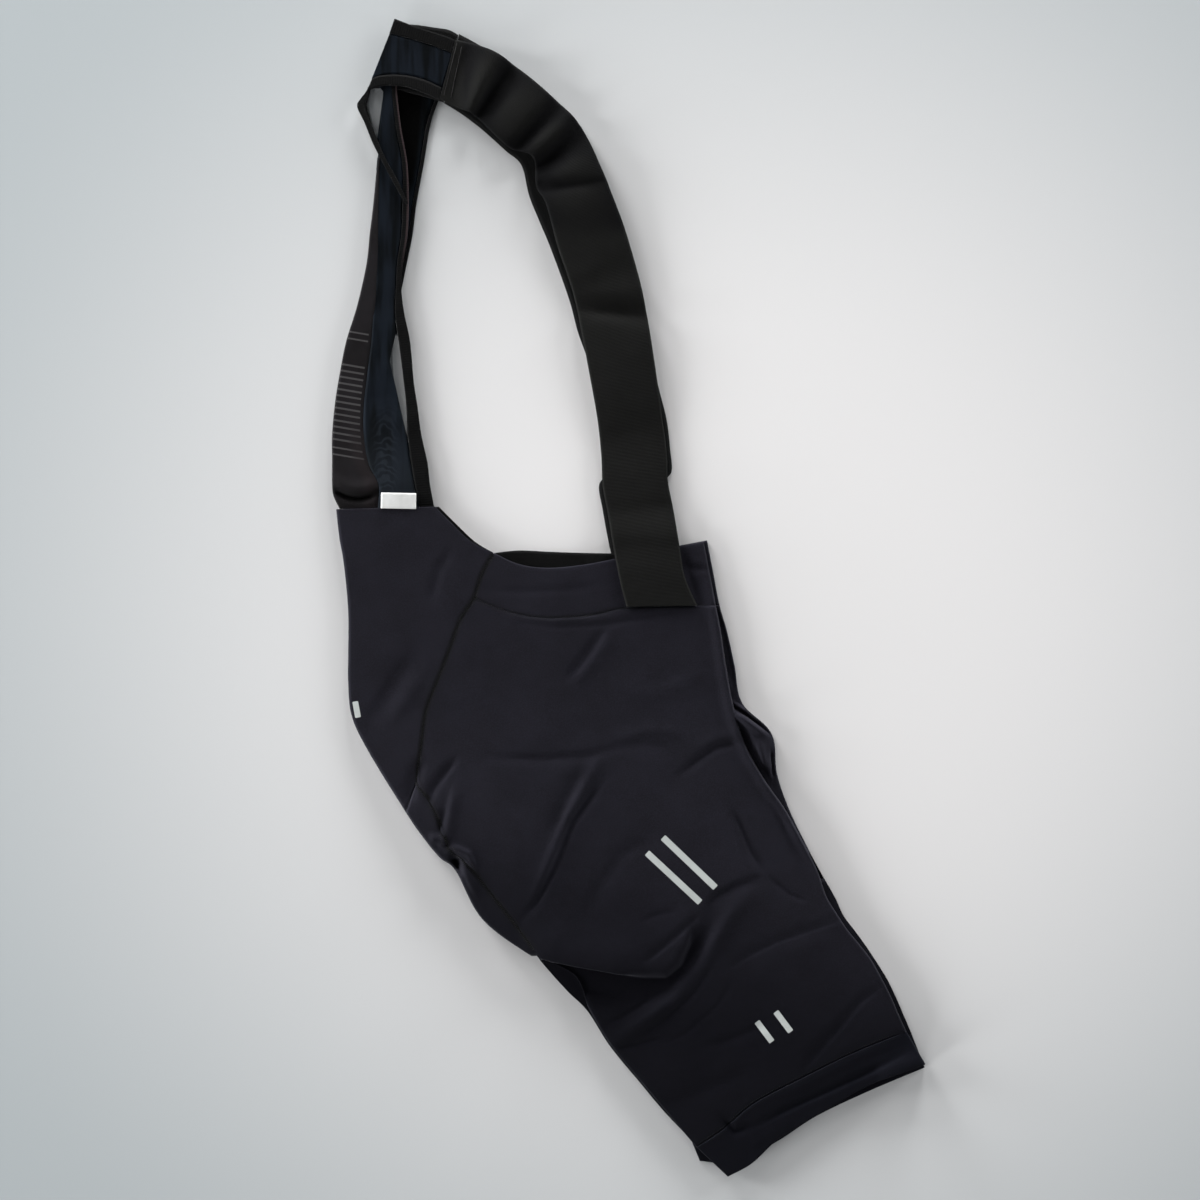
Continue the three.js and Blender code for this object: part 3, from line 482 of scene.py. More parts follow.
def upper_height(x, y):
    fade = smooth(4, 22, (y + 438) - 0.5 * (x - 54))
    base = mix(WAIST_HEIGHT, THIGH_HEIGHT, smooth(-60, -215, y))
    soft = 0.28 * lumps(x, y, 34, 3) + 0.12 * lumps(x, y, 15, 5) + 0.04 * lumps(x, y, 6, 8)
    leg = smooth(-230, -330, y)
    soft = soft * mix(1.0, 1.5, leg)
    z = base + SEAT_RISE * seat_share(x, y) + (crease_height(x, y, UPPER_CREASES) + soft) * fade
    z = z + crease_height(x, y, HEM_CREASES) + 0.5 * soft * (1 - fade)
    floor = mix(3.1, 3.35, smooth(-200, -235, y))
    return floor + np.logaddexp(0, (z - floor) * 2.5) / 2.5


def thigh_height(layer):
    def height(x, y):
        return layer + 0 * x
    return height


def lower_height(x, y):
    middle = 22 - 0.28 * y
    beside = smooth(-50, -39, x - middle) * smooth(41, 31, x - middle)
    return FLOOR_LAYER + STRAP_LIFT * beside * smooth(-34, -16, y)


def stack(*columns):
    return np.concatenate(columns, axis=1)


def lay(plan, height, columns, rear, front):
    """Grid of middle points of rows that curl at their ends, or turn back under at the front."""
    count = len(rear["end"])
    ones = np.ones((count, 1))
    start = plan(0 * ones)[:, 0]
    end = plan(ones)[:, 0]
    length = np.maximum(np.hypot(*(end - start).T)[:, None], 0.5)

    def at(share, z=None):
        place = plan(share)
        level = height(place[..., 0], place[..., 1]) if z is None else z
        return np.concatenate([place, level[..., None]], axis=2)

    rear_share = np.minimum(rear["reach"][:, None] / length, 0.45)
    front_share = np.minimum(front["reach"][:, None] / length, 0.45)
    rear_top = at(rear_share)[..., 2]
    angle = (np.pi / 2) * np.arange(rear["steps"])[None, :] / rear["steps"]
    first = at(rear_share * (1 - np.cos(angle)), mix(rear["end"][:, None], rear_top, np.sin(angle)))
    shares = mix(rear_share, 1 - front_share, np.asarray(columns)[None, :])
    middle = at(shares)
    front_top = middle[:, -1:, 2]
    order = np.arange(1, front["steps"] + 1)[None, :] / front["steps"]
    if "turn" not in front:
        angle = (np.pi / 2) * (1 - order)
        level = mix(front["end"][:, None], front_top, np.sin(angle))
        return stack(first, middle, at(1 - front_share * (1 - np.cos(angle)), level))
    base = middle[:, -1:, :2]
    out = (end[:, None] - base) / front["reach"][:, None, None]
    turn = front["turn"][:, None]
    pieces = [first, middle]
    reach = front["reach"][:, None]
    leaf_order = np.arange(1, front["leaf_steps"] + 1)[None, :] / front["leaf_steps"]
    for angle, leaf in ((turn * order, 0 * order), (turn + 0 * leaf_order, front["leaf"][:, None] * leaf_order)):
        away = reach * np.sin(angle) + leaf * np.cos(angle)
        lift = front.get("puff", np.zeros(count))[:, None] * np.sin(np.pi * np.minimum(leaf / (leaf.max() + 1e-6), 1))
        level = front_top + reach * (1 - np.cos(angle)) + leaf * np.sin(angle) + lift
        pieces.append(np.concatenate([base + out * away[..., None], level[..., None]], axis=2))
    return stack(*pieces)


def dip(grid, sides, depth, width):
    """Lowers the chosen sides of a grid a little, as sewn or bound edges lie."""
    down = np.linalg.norm(np.diff(grid, axis=0), axis=2).cumsum(axis=0)
    down = np.concatenate([np.zeros((1, grid.shape[1])), down], axis=0)
    over = np.linalg.norm(np.diff(grid, axis=1), axis=2).cumsum(axis=1)
    over = np.concatenate([np.zeros((grid.shape[0], 1)), over], axis=1)
    distance = {"first": down, "last": down[-1:] - down, "left": over, "right": over[:, -1:] - over}
    lowered = grid.copy()
    for side in sides:
        lowered[..., 2] -= depth * np.exp(-((distance[side] / width) ** 2))
    return lowered


def trim(grid, sides):
    """Moves the chosen sides inwards by half a seam gap."""
    grid = grid.copy()

    def shift(edge, inner):
        step = inner - edge
        size = np.linalg.norm(step, axis=-1, keepdims=True)
        return edge + step / np.maximum(size, 1e-6) * np.minimum(SEAM_GAP / 2, 0.6 * size)

    if "first" in sides:
        grid[0] = shift(grid[0], grid[1])
    if "last" in sides:
        grid[-1] = shift(grid[-1], grid[-2])
    if "left" in sides:
        grid[:, 0] = shift(grid[:, 0], grid[:, 1])
    if "right" in sides:
        grid[:, -1] = shift(grid[:, -1], grid[:, -2])
    return grid


def shell(name, grid, wall, material, closed=False, inner=None):
    """A cloth piece of even wall on a grid of middle points, with distances across and along as UVs in metres."""
    rows, columns = grid.shape[:2]
    if closed:
        over = np.roll(grid, -1, axis=1) - np.roll(grid, 1, axis=1)
    else:
        over = np.gradient(grid, axis=1)
    down = np.gradient(grid, axis=0)
    normal = np.cross(over, down)
    normal /= np.maximum(np.linalg.norm(normal, axis=2, keepdims=True), 1e-9)
    points = np.concatenate([(grid + normal * wall / 2).reshape(-1, 3), (grid - normal * wall / 2).reshape(-1, 3)])
    count = rows * columns
    index = np.arange(count).reshape(rows, columns)
    following = np.roll(index, -1, axis=1) if closed else index[:, 1:]
    base = index if closed else index[:, :-1]
    a, b, c, d = base[:-1], following[:-1], following[1:], base[1:]
    top = np.stack([a, b, c, d], axis=-1).reshape(-1, 4)
    faces = [top, top[:, ::-1] + count]

    def rim(line):
        return np.stack([line[:-1], line[1:], line[1:] + count, line[:-1] + count], axis=-1)

    rims = []
    if closed:
        rims += [rim(np.append(index[0], index[0, 0]))[:, ::-1], rim(np.append(index[-1], index[-1, 0]))]
    else:
        rims += [rim(index[0])[:, ::-1], rim(index[-1]), rim(index[:, 0]), rim(index[:, -1])[:, ::-1]]
    smooth_count = 2 * len(top)
    faces = np.concatenate(faces + rims)
    mesh = bpy.data.meshes.new(name)
    mesh.from_pydata((points * MM).tolist(), [], faces.tolist())
    mesh.update()
    flags = np.zeros(len(faces), bool)
    flags[:smooth_count] = True
    mesh.polygons.foreach_set("use_smooth", flags)
    width = np.linalg.norm(np.diff(grid, axis=1), axis=2)
    width = np.concatenate([np.zeros((rows, 1)), width.cumsum(axis=1)], axis=1)
    middle = grid[:, columns // 2]
    run = np.concatenate([[0], np.linalg.norm(np.diff(middle, axis=0), axis=1).cumsum()])
    lengths = np.stack([width, np.repeat(run[:, None], columns, axis=1)], axis=-1) * MM
    shares = np.stack([width / np.maximum(width[:, -1:], 1e-6), np.repeat(run[:, None] / run[-1], columns, axis=1)], axis=-1)
    loops = np.zeros(len(mesh.loops), int)
    mesh.loops.foreach_get("vertex_index", loops)
    for layer_name, values in (("cloth", lengths), ("share", shares)):
        layer = mesh.uv_layers.new(name=layer_name)
        values = np.tile(values.reshape(-1, 2), (2, 1))
        layer.data.foreach_set("uv", values[loops].ravel())
    mesh.materials.append(material)
    if inner is not None:
        mesh.materials.append(inner)
        sides = np.zeros(len(faces), int)
        sides[len(top) :] = 1
        mesh.polygons.foreach_set("material_index", sides)
    piece = bpy.data.objects.new(name, mesh)
    bpy.context.scene.collection.objects.link(piece)
    return piece


# Threads: small rounded stitches lying on the cloth
def threads(name, centres, directions, length, radius, material, arch=0.25):
    centres = np.asarray(centres, float)
    directions = np.asarray(directions, float)
    directions = directions / np.linalg.norm(directions, axis=1, keepdims=True)
    up = np.array([0.0, 0.0, 1.0])
    side = np.cross(directions, up)
    side /= np.maximum(np.linalg.norm(side, axis=1, keepdims=True), 1e-9)
    places = np.array([-0.5, -0.3, 0.0, 0.3, 0.5])
    girth = np.array([0.35, 0.9, 1.0, 0.9, 0.35])
    drop = np.array([1.0, 0.35, 0.0, 0.35, 1.0]) * arch
    ring = np.arange(6) * np.pi / 3
    points = centres[:, None, None, :] + directions[:, None, None, :] * (places * length)[None, :, None, None]
    points = points + side[:, None, None, :] * (np.cos(ring)[None, :] * girth[:, None] * radius)[None, :, :, None]
    lift = np.sin(ring)[None, :] * girth[:, None] * radius - drop[:, None]
    points = points + up * lift[None, :, :, None]
    count = len(centres)
    base = np.arange(count)[:, None, None] * 30
    r = np.arange(4)[None, :, None] * 6
    k = np.arange(6)[None, None, :]
    n = (k + 1) % 6
    quads = np.stack([base + r + k, base + r + n, base + r + 6 + n, base + r + 6 + k], axis=-1).reshape(-1, 4)
    caps = [(np.arange(count)[:, None] * 30 + np.arange(5, -1, -1)[None, :])]
    caps.append(np.arange(count)[:, None] * 30 + 24 + np.arange(6)[None, :])
    mesh = bpy.data.meshes.new(name)
    mesh.from_pydata((points.reshape(-1, 3) * MM).tolist(), [], quads.tolist() + caps[0].tolist() + caps[1].tolist())
    mesh.update()
    mesh.polygons.foreach_set("use_smooth", np.ones(len(mesh.polygons), bool))
    mesh.materials.append(material)
    piece = bpy.data.objects.new(name, mesh)
    bpy.context.scene.collection.objects.link(piece)
    return piece


# Materials
def new_material(name):
    material = bpy.data.materials.new(name)
    material.use_nodes = True
    tree = material.node_tree
    return material, tree, tree.nodes["Principled BSDF"]


def add(tree, kind, **settings):
    node = tree.nodes.new(kind)
    for key, value in settings.items():
        setattr(node, key, value)
    return node


def link(tree, source, target):
    tree.links.new(source, target)


def maths(tree, operation, a, b=None):
    node = add(tree, "ShaderNodeMath", operation=operation)
    for socket, value in zip(node.inputs, (a, b)):
        if value is None:
            continue
        if isinstance(value, (int, float)):
            socket.default_value = value
        else:
            link(tree, value, socket)
    return node.outputs[0]


def linear(rgb):
    """sRGB bytes to a linear colour."""
    out = []
    for value in rgb:
        c = value / 255
        out.append(c / 12.92 if c <= 0.04045 else ((c + 0.055) / 1.055) ** 2.4)
    return tuple(out) + (1.0,)


def mixed(tree, factor, first, second):
    node = add(tree, "ShaderNodeMix", data_type="RGBA")
    for socket, value in ((node.inputs[0], factor), (node.inputs[6], first), (node.inputs[7], second)):
        if isinstance(value, (int, float)):
            socket.default_value = value
        elif isinstance(value, tuple):
            socket.default_value = value
        else:
            link(tree, value, socket)
    return node.outputs[2]


def ramp(tree, source, low, high):
    node = add(tree, "ShaderNodeMapRange", interpolation_type="SMOOTHSTEP")
    link(tree, source, node.inputs[0])
    node.inputs[1].default_value = low
    node.inputs[2].default_value = high
    return node.outputs[0]


def cloth_base(name, dark, light, roughness, sheen, coarse=30.0):
    """Cloth whose colour drifts softly between two tones."""
    material, tree, shader = new_material(name)
    place = add(tree, "ShaderNodeTexCoord").outputs["Object"]
    drift = add(tree, "ShaderNodeTexNoise")
    drift.inputs["Scale"].default_value = coarse
    drift.inputs["Detail"].default_value = 6.0
    drift.inputs["Roughness"].default_value = 0.6
    link(tree, place, drift.inputs["Vector"])
    colour = mixed(tree, ramp(tree, drift.outputs["Fac"], 0.3, 0.7), linear(dark), linear(light))
    shader.inputs["Roughness"].default_value = roughness
    shader.inputs["Specular IOR Level"].default_value = 0.07
    shader.inputs["Sheen Weight"].default_value = sheen
    shader.inputs["Sheen Roughness"].default_value = 0.35
    return material, tree, shader, place, colour


def wave_along(tree, uv_socket, per_metre, axis):
    """A rounded rib pattern across one axis of the cloth."""
    split = add(tree, "ShaderNodeSeparateXYZ")
    link(tree, uv_socket, split.inputs[0])
    scaled = maths(tree, "MULTIPLY", split.outputs[axis], per_metre * 2 * math.pi)
    return maths(tree, "SINE", scaled)


def set_bump(tree, shader, height, distance, strength=1.0):
    bump = add(tree, "ShaderNodeBump")
    bump.inputs["Strength"].default_value = strength
    bump.inputs["Distance"].default_value = distance
    link(tree, height, bump.inputs["Height"])
    link(tree, bump.outputs["Normal"], shader.inputs["Normal"])


def bar_mask(tree, place, centre, angle, half_length, half_width):
    """A plain straight bar on the cloth seen from above: 1 inside it, 0 outside."""
    shift = add(tree, "ShaderNodeVectorMath", operation="SUBTRACT")
    link(tree, place, shift.inputs[0])
    shift.inputs[1].default_value = (centre[0] * MM, centre[1] * MM, 0)
    turn = add(tree, "ShaderNodeVectorRotate", rotation_type="Z_AXIS")
    link(tree, shift.outputs[0], turn.inputs["Vector"])
    turn.inputs["Angle"].default_value = -angle
    split = add(tree, "ShaderNodeSeparateXYZ")
    link(tree, turn.outputs[0], split.inputs[0])
    radius = half_width * 0.35
    dx = maths(tree, "MAXIMUM", maths(tree, "SUBTRACT", maths(tree, "ABSOLUTE", split.outputs[0]), (half_length - radius) * MM), 0.0)
    dy = maths(tree, "MAXIMUM", maths(tree, "SUBTRACT", maths(tree, "ABSOLUTE", split.outputs[1]), (half_width - radius) * MM), 0.0)
    away = maths(tree, "SQRT", maths(tree, "ADD", maths(tree, "MULTIPLY", dx, dx), maths(tree, "MULTIPLY", dy, dy)))
    return ramp(tree, away, (radius + 0.2) * MM, (radius - 0.2) * MM)


def lycra_material(name, dark, light, bars=(), sheen=0.08):
    material, tree, shader, place, colour = cloth_base(name, dark, light, 0.8, sheen)
    wales = wave_along(tree, place, 1900, 0)
    courses = wave_along(tree, place, 1500, 1)
    grain = add(tree, "ShaderNodeTexNoise")
    grain.inputs["Scale"].default_value = 900.0
    grain.inputs["Detail"].default_value = 3.0
    link(tree, place, grain.inputs["Vector"])
    knit = maths(tree, "ADD", maths(tree, "MULTIPLY", wales, courses), maths(tree, "MULTIPLY", grain.outputs["Fac"], 3.0))
    flecks = ramp(tree, grain.outputs["Fac"], 0.35, 0.75)
    colour = mixed(tree, maths(tree, "MULTIPLY", flecks, 0.35), colour, linear(tuple(min(255, int(c * 1.45)) for c in light)))
    height = add(tree, "ShaderNodeSeparateXYZ")
    link(tree, place, height.inputs[0])
    leg = ramp(tree, maths(tree, "ADD", height.outputs[1], maths(tree, "MULTIPLY", height.outputs[0], 0.25)), -0.18, -0.34)
    colour = mixed(tree, maths(tree, "MULTIPLY", leg, 0.92), colour, linear((5, 5, 12)))
    lint = add(tree, "ShaderNodeTexVoronoi", feature="F1")
    lint.inputs["Scale"].default_value = 42.0
    link(tree, place, lint.inputs["Vector"])
    near = ramp(tree, lint.outputs["Distance"], 0.030, 0.018)
    split = add(tree, "ShaderNodeSeparateColor")
    link(tree, lint.outputs["Color"], split.inputs[0])
    rare = maths(tree, "GREATER_THAN", split.outputs[0], 0.90)
    colour = mixed(tree, maths(tree, "MULTIPLY", maths(tree, "MULTIPLY", near, rare), 0.5), colour, linear((96, 96, 104)))
    for centre, angle, half_length, half_width in bars:
        mask = bar_mask(tree, place, centre, angle, half_length, half_width)
        colour = mixed(tree, mask, colour, linear((186, 190, 187)))
    link(tree, colour, shader.inputs["Base Color"])
    set_bump(tree, shader, knit, 0.00006, 0.6)
    return material


def ribbed_material(name, dark, light, ribs, across_ribs, sheen=0.25, depth=0.00012, edge=None, low=None):
    """Ribbed elastic or binding; edge is a paler line at its far edge, low the tone of a painted shade in the dips at
    the shoulder.
    """
    material, tree, shader, place, colour = cloth_base(name, dark, light, 0.85, sheen, 60.0)
    uv = add(tree, "ShaderNodeUVMap", uv_map="cloth").outputs[0]
    cross = wave_along(tree, uv, ribs, 1)
    yarns = wave_along(tree, uv, across_ribs, 0)
    grain = add(tree, "ShaderNodeTexNoise")
    grain.inputs["Scale"].default_value = 700.0
    link(tree, place, grain.inputs["Vector"])
    height = maths(tree, "ADD", maths(tree, "ADD", cross, maths(tree, "MULTIPLY", yarns, 0.5)), grain.outputs["Fac"])
    shade = ramp(tree, height, -1.2, 2.2)
    colour = mixed(tree, maths(tree, "MULTIPLY", shade, 0.3), colour, linear(tuple(min(255, int(c * 1.5)) for c in light)))
    if low:
        # Painted shade: the strap is darkened where it lies low in its dips at the shoulder.
        raised = add(tree, "ShaderNodeSeparateXYZ")
        link(tree, place, raised.inputs[0])
        painted_dip_shade = maths(tree, "MULTIPLY", ramp(tree, raised.outputs[2], 0.0108, 0.0066), ramp(tree, raised.outputs[1], 0.285, 0.305))
        beyond = ramp(tree, raised.outputs[0], -0.138, -0.128)
        colour = mixed(tree, maths(tree, "MULTIPLY", painted_dip_shade, beyond), colour, linear(low))
    if edge:
        share = add(tree, "ShaderNodeSeparateXYZ")
        link(tree, add(tree, "ShaderNodeUVMap", uv_map="share").outputs[0], share.inputs[0])
        level = add(tree, "ShaderNodeSeparateXYZ")
        link(tree, place, level.inputs[0])
        part = maths(tree, "MULTIPLY", ramp(tree, level.outputs[1], 0.255, 0.300), ramp(tree, level.outputs[1], 0.418, 0.410))
        line = maths(tree, "MULTIPLY", ramp(tree, share.outputs[0], 0.62, 0.74), part)
        colour = mixed(tree, line, colour, linear(edge))
    link(tree, colour, shader.inputs["Base Color"])
    set_bump(tree, shader, height, depth, 0.5)
    return material


def mesh_material(name, tone, turn, thin):
    """Fine open knit that looks solid where it lies doubled and lets light through where it lies single."""
    material, tree, shader = new_material(name)
    uv = add(tree, "ShaderNodeUVMap", uv_map="cloth").outputs[0]
    place = add(tree, "ShaderNodeTexCoord").outputs["Object"]
    rotate = add(tree, "ShaderNodeVectorRotate", rotation_type="Z_AXIS")
    rotate.inputs["Angle"].default_value = turn
    link(tree, uv, rotate.inputs["Vector"])
    one = wave_along(tree, rotate.outputs[0], 660, 0)
    two = wave_along(tree, rotate.outputs[0], 560, 1)
    holes = ramp(tree, maths(tree, "MULTIPLY", one, two), 0.0, 0.4)
    split = add(tree, "ShaderNodeSeparateXYZ")
    link(tree, place, split.inputs[0])
    x, y = split.outputs[0], split.outputs[1]
    single, dark = thin(tree, x, y)
    shader.inputs["Roughness"].default_value = 0.8
    shader.inputs["Specular IOR Level"].default_value = 0.03
    # Painted shade and light: the mesh's tone runs in long soft streaks between a darker and a paler copy of it,
    # standing in for the shading of soft folds.
    drape = add(tree, "ShaderNodeVectorMath", operation="MULTIPLY")
    link(tree, place, drape.inputs[0])
    drape.inputs[1].default_value = (115, 14, 0)
    painted_fold_shade = add(tree, "ShaderNodeTexNoise")
    painted_fold_shade.inputs["Scale"].default_value = 1.0
    painted_fold_shade.inputs["Detail"].default_value = 2.0
    link(tree, drape.outputs[0], painted_fold_shade.inputs["Vector"])
    deep = linear(tuple(int(c * 0.55) for c in tone))
    pale = linear(tuple(int(c * 1.3) for c in tone))
    colour = mixed(tree, ramp(tree, painted_fold_shade.outputs["Fac"], 0.36, 0.62), deep, pale)
    arch = maths(tree, "ADD", x, 0.1955)
    arch = maths(tree, "MULTIPLY", maths(tree, "MULTIPLY", arch, arch), 70.0)
    wobble = add(tree, "ShaderNodeTexNoise")
    wobble.inputs["Scale"].default_value = 110.0
    wobble.inputs["Detail"].default_value = 1.0
    link(tree, place, wobble.inputs["Vector"])
    phase = maths(tree, "MULTIPLY", maths(tree, "ADD", y, arch), 2 * math.pi / 0.0068)
    phase = maths(tree, "ADD", phase, maths(tree, "MULTIPLY", wobble.outputs["Fac"], 17.0))
    shimmer = ramp(tree, maths(tree, "SINE", phase), -0.2, 1.0)
    shimmer = maths(tree, "MULTIPLY", shimmer, ramp(tree, maths(tree, "ABSOLUTE", maths(tree, "ADD", x, 0.1945)), 0.013, 0.003))
    low_part = maths(tree, "MULTIPLY", ramp(tree, y, 0.160, 0.128), ramp(tree, y, 0.072, 0.095))
    colour = mixed(tree, maths(tree, "MULTIPLY", ramp(tree, y, 0.160, 0.085), 0.45), colour, linear((38, 42, 47)))
    colour = mixed(tree, maths(tree, "MULTIPLY", maths(tree, "MULTIPLY", low_part, shimmer), 0.2), colour, linear((60, 66, 74)))
    colour = mixed(tree, maths(tree, "MULTIPLY", holes, 0.25), colour, deep)
    colour = mixed(tree, dark, colour, linear((3, 3, 3)))
    # Painted light: where the mesh lies single it is made paler, standing in for the lit floor seen through it.
    colour = mixed(tree, maths(tree, "MULTIPLY", single, 0.85), colour, linear((92, 95, 97)))
    link(tree, colour, shader.inputs["Base Color"])
    open_share = maths(tree, "MULTIPLY", single, maths(tree, "ADD", maths(tree, "MULTIPLY", holes, 0.18), 0.68))
    link(tree, maths(tree, "SUBTRACT", 1.0, open_share), shader.inputs["Alpha"])
    set_bump(tree, shader, holes, 0.00008, 0.4)
    return material


def line_side(tree, x, y, low, high):
    """Positive to the right of a straight line through two places given in metres."""
    lean = (high[0] - low[0]) / (high[1] - low[1])
    across = maths(tree, "MULTIPLY", maths(tree, "SUBTRACT", y, low[1]), lean)
    return maths(tree, "SUBTRACT", maths(tree, "SUBTRACT", x, across), low[0])


def upper_thin(tree, x, y):
    """The upper half lies single beside the armhole, where the lower half has slid to the left."""
    inside = ramp(tree, line_side(tree, x, y, (-0.1780, 0.130), (-0.1885, 0.178)), -0.0003, 0.0003)
    above = ramp(tree, line_side(tree, x, y, (-0.1905, 0.192), (-0.1862, 0.212)), -0.0003, 0.0003)
    wedge = maths(tree, "MULTIPLY", maths(tree, "MULTIPLY", inside, above), ramp(tree, y, 0.128, 0.134))
    return maths(tree, "MULTIPLY", wedge, ramp(tree, y, 0.2115, 0.2085)), 0.0


def lower_thin(tree, x, y):
    """Single inside the neck loop; a near-black band to the right of it."""
    high = ramp(tree, y, 0.318, 0.334)
    loop = ramp(tree, line_side(tree, x, y, (-0.2008, 0.372), (-0.1956, 0.409)), 0.0003, -0.0003)
    left = line_side(tree, x, y, (-0.1795, 0.330), (-0.1875, 0.400))
    right = line_side(tree, x, y, (-0.1740, 0.318), (-0.1640, 0.400))
    near_black_band = maths(tree, "MULTIPLY", ramp(tree, left, -0.001, 0.0), ramp(tree, right, 0.004, -0.003))
    return maths(tree, "MULTIPLY", loop, high), maths(tree, "MULTIPLY", near_black_band, high)


def rules(tree, tilted, first, last, pitch, thick):
    """Mask of plain straight rules between two heights."""
    step = maths(tree, "FRACT", maths(tree, "DIVIDE", maths(tree, "SUBTRACT", tilted, first), pitch))
    line = maths(tree, "LESS_THAN", step, thick / pitch)
    return maths(tree, "MULTIPLY", line, maths(tree, "MULTIPLY", maths(tree, "GREATER_THAN", tilted, first),
                                               maths(tree, "LESS_THAN", tilted, last)))


def centre_material(name):
    """Charcoal knit with plain thin light rules on its outer part."""
    material, tree, shader, place, colour = cloth_base(name, (22, 20, 21), (29, 27, 29), 0.85, 0.05)
    uv = add(tree, "ShaderNodeUVMap", uv_map="cloth").outputs[0]
    split = add(tree, "ShaderNodeSeparateXYZ")
    link(tree, place, split.inputs[0])
    tilted = maths(tree, "ADD", split.outputs[1], maths(tree, "MULTIPLY", maths(tree, "ADD", split.outputs[0], 0.225), 0.17))
    block = rules(tree, tilted, 0.1245, 0.1880, 0.00507, 0.0015)
    pairs = maths(tree, "ADD", rules(tree, tilted, 0.1125, 0.1200, 0.0055, 0.0013), rules(tree, tilted, 0.2070, 0.2145, 0.0055, 0.0013))
    side = add(tree, "ShaderNodeSeparateXYZ")
    link(tree, uv, side.inputs[0])
    top = maths(tree, "MULTIPLY", maths(tree, "GREATER_THAN", side.outputs[0], 0.0045), maths(tree, "GREATER_THAN", split.outputs[2], 0.0030))
    mask = maths(tree, "MULTIPLY", maths(tree, "MINIMUM", maths(tree, "ADD", block, pairs), 1.0), top)
    colour = mixed(tree, maths(tree, "MULTIPLY", mask, 0.5), colour, linear((92, 90, 90)))
    inner = ramp(tree, side.outputs[0], 0.016, 0.009)
    warm = maths(tree, "MULTIPLY", inner, ramp(tree, split.outputs[1], 0.150, 0.120))
    colour = mixed(tree, maths(tree, "MULTIPLY", warm, 0.5), colour, linear((36, 31, 32)))
    # Painted shade: a near-black band across the panel near its bottom stands in for the shadow in the crease where it
    # folds over.
    aside = maths(tree, "ADD", split.outputs[0], 0.217)
    bent = maths(tree, "SUBTRACT", split.outputs[1], maths(tree, "MULTIPLY", maths(tree, "MULTIPLY", aside, aside), 17.0))
    painted_crease_shade = maths(tree, "MULTIPLY", ramp(tree, bent, 0.0745, 0.0780), ramp(tree, bent, 0.0860, 0.0815))
    colour = mixed(tree, maths(tree, "MULTIPLY", painted_crease_shade, 0.75), colour, linear((5, 5, 5)))
    link(tree, colour, shader.inputs["Base Color"])
    set_bump(tree, shader, wave_along(tree, place, 1700, 0), 0.00005, 0.5)
    return material


def label_material(name):
    material, tree, shader, place, colour = cloth_base(name, (214, 214, 211), (226, 226, 224), 0.55, 0.2, 90.0)
    weave = maths(tree, "MULTIPLY", wave_along(tree, place, 1600, 0), wave_along(tree, place, 1600, 1))
    link(tree, colour, shader.inputs["Base Color"])
    set_bump(tree, shader, weave, 0.00004, 0.5)
    return material


def thread_material(name, tone):
    material, tree, shader, place, colour = cloth_base(name, tone, tuple(int(c * 1.2) for c in tone), 0.7, 0.2, 400.0)
    link(tree, colour, shader.inputs["Base Color"])
    twist = add(tree, "ShaderNodeTexNoise")
    twist.inputs["Scale"].default_value = 3000.0
    link(tree, place, twist.inputs["Vector"])
    set_bump(tree, shader, twist.outputs["Fac"], 0.00004, 0.6)
    return material


def slant(ax, ay, bx, by):
    return math.atan2(by - ay, bx - ax)


side_bars = [
    ((35.5, -223), slant(14, -203, 57, -243), 29, 2.6),
    ((48, -211), slant(26, -190, 70, -232), 29, 2.6),
    ((108, -346), slant(102, -338, 114, -354), 10, 2.4),
    ((123, -338), slant(117, -330, 129, -346), 10, 2.4),
]
rear_bars = [((-217.5, -89), slant(-219, -82, -216, -98), 6.5, 2.3)]
lycra = lycra_material("lycra", (22, 21, 27), (26, 25, 32))
lycra_side = lycra_material("lycra_side", (22, 21, 27), (26, 25, 32), side_bars)
lycra_rear = lycra_material("lycra_rear", (22, 21, 27), (26, 25, 32), rear_bars)
hem_knit = lycra_material("hem_knit", (7, 10, 19), (10, 13, 23), sheen=0.05)
# low is the tone of a painted shade in the dips of the upper strap at the shoulder.
strap_elastic = ribbed_material("strap_elastic", (16, 16, 15), (18, 18, 17), 900, 1500, sheen=0.05, low=(4, 4, 5))
# Painted shade: the lower strap gets a darker copy of the elastic, standing in for the shade it lies in.
strap_reverse = ribbed_material("strap_reverse", (9, 9, 9), (12, 12, 12), 900, 1500, sheen=0.03)
binding_tape = ribbed_material("binding_tape", (9, 9, 9), (13, 13, 13), 520, 900, 0.03, 0.0001)
binding_lined = ribbed_material("binding_lined", (5, 5, 5), (9, 9, 9), 520, 900, 0.03, 0.0001, (52, 43, 44))
inner_black = lycra_material("inner_black", (9, 9, 9), (12, 12, 12), sheen=0.05)
mesh_upper = mesh_material("mesh_upper", (18, 22, 27), 0.06, upper_thin)
mesh_lower = mesh_material("mesh_lower", (16, 20, 25), -0.05, lower_thin)
centre_knit = centre_material("centre_knit")
label_satin = label_material("label_satin")
seam_thread = thread_material("seam_thread", (14, 14, 13))
dark_thread = thread_material("dark_thread", (15, 15, 18))
grey_thread = thread_material("grey_thread", (42, 40, 40))
hem_thread = thread_material("hem_thread", (8, 9, 12))


# Body pieces
def body_plan(t, seam, front, top_curve):
    left = along(seam, t)[:, None]
    right = along(front, t)[:, None]
    top_share = np.maximum(1 - t / WAIST_ROW, 0)[:, None, None]
    waist_share = np.where(t < WAIST_ROW, t / WAIST_ROW, 1 - smooth(WAIST_ROW, WAIST_ROW + 5, t))[:, None, None]
    hem_share = smooth(CROTCH_ROW + 1, HEM_ROW, t)[:, None, None]

    def plan(u):
        bows = bow(top_curve, u) * top_share + bow(WAIST_SEAM, u) * waist_share + bow(HEM_SEAM, u) * hem_share
        return mix(left, right, u[..., None]) + bows
    return plan


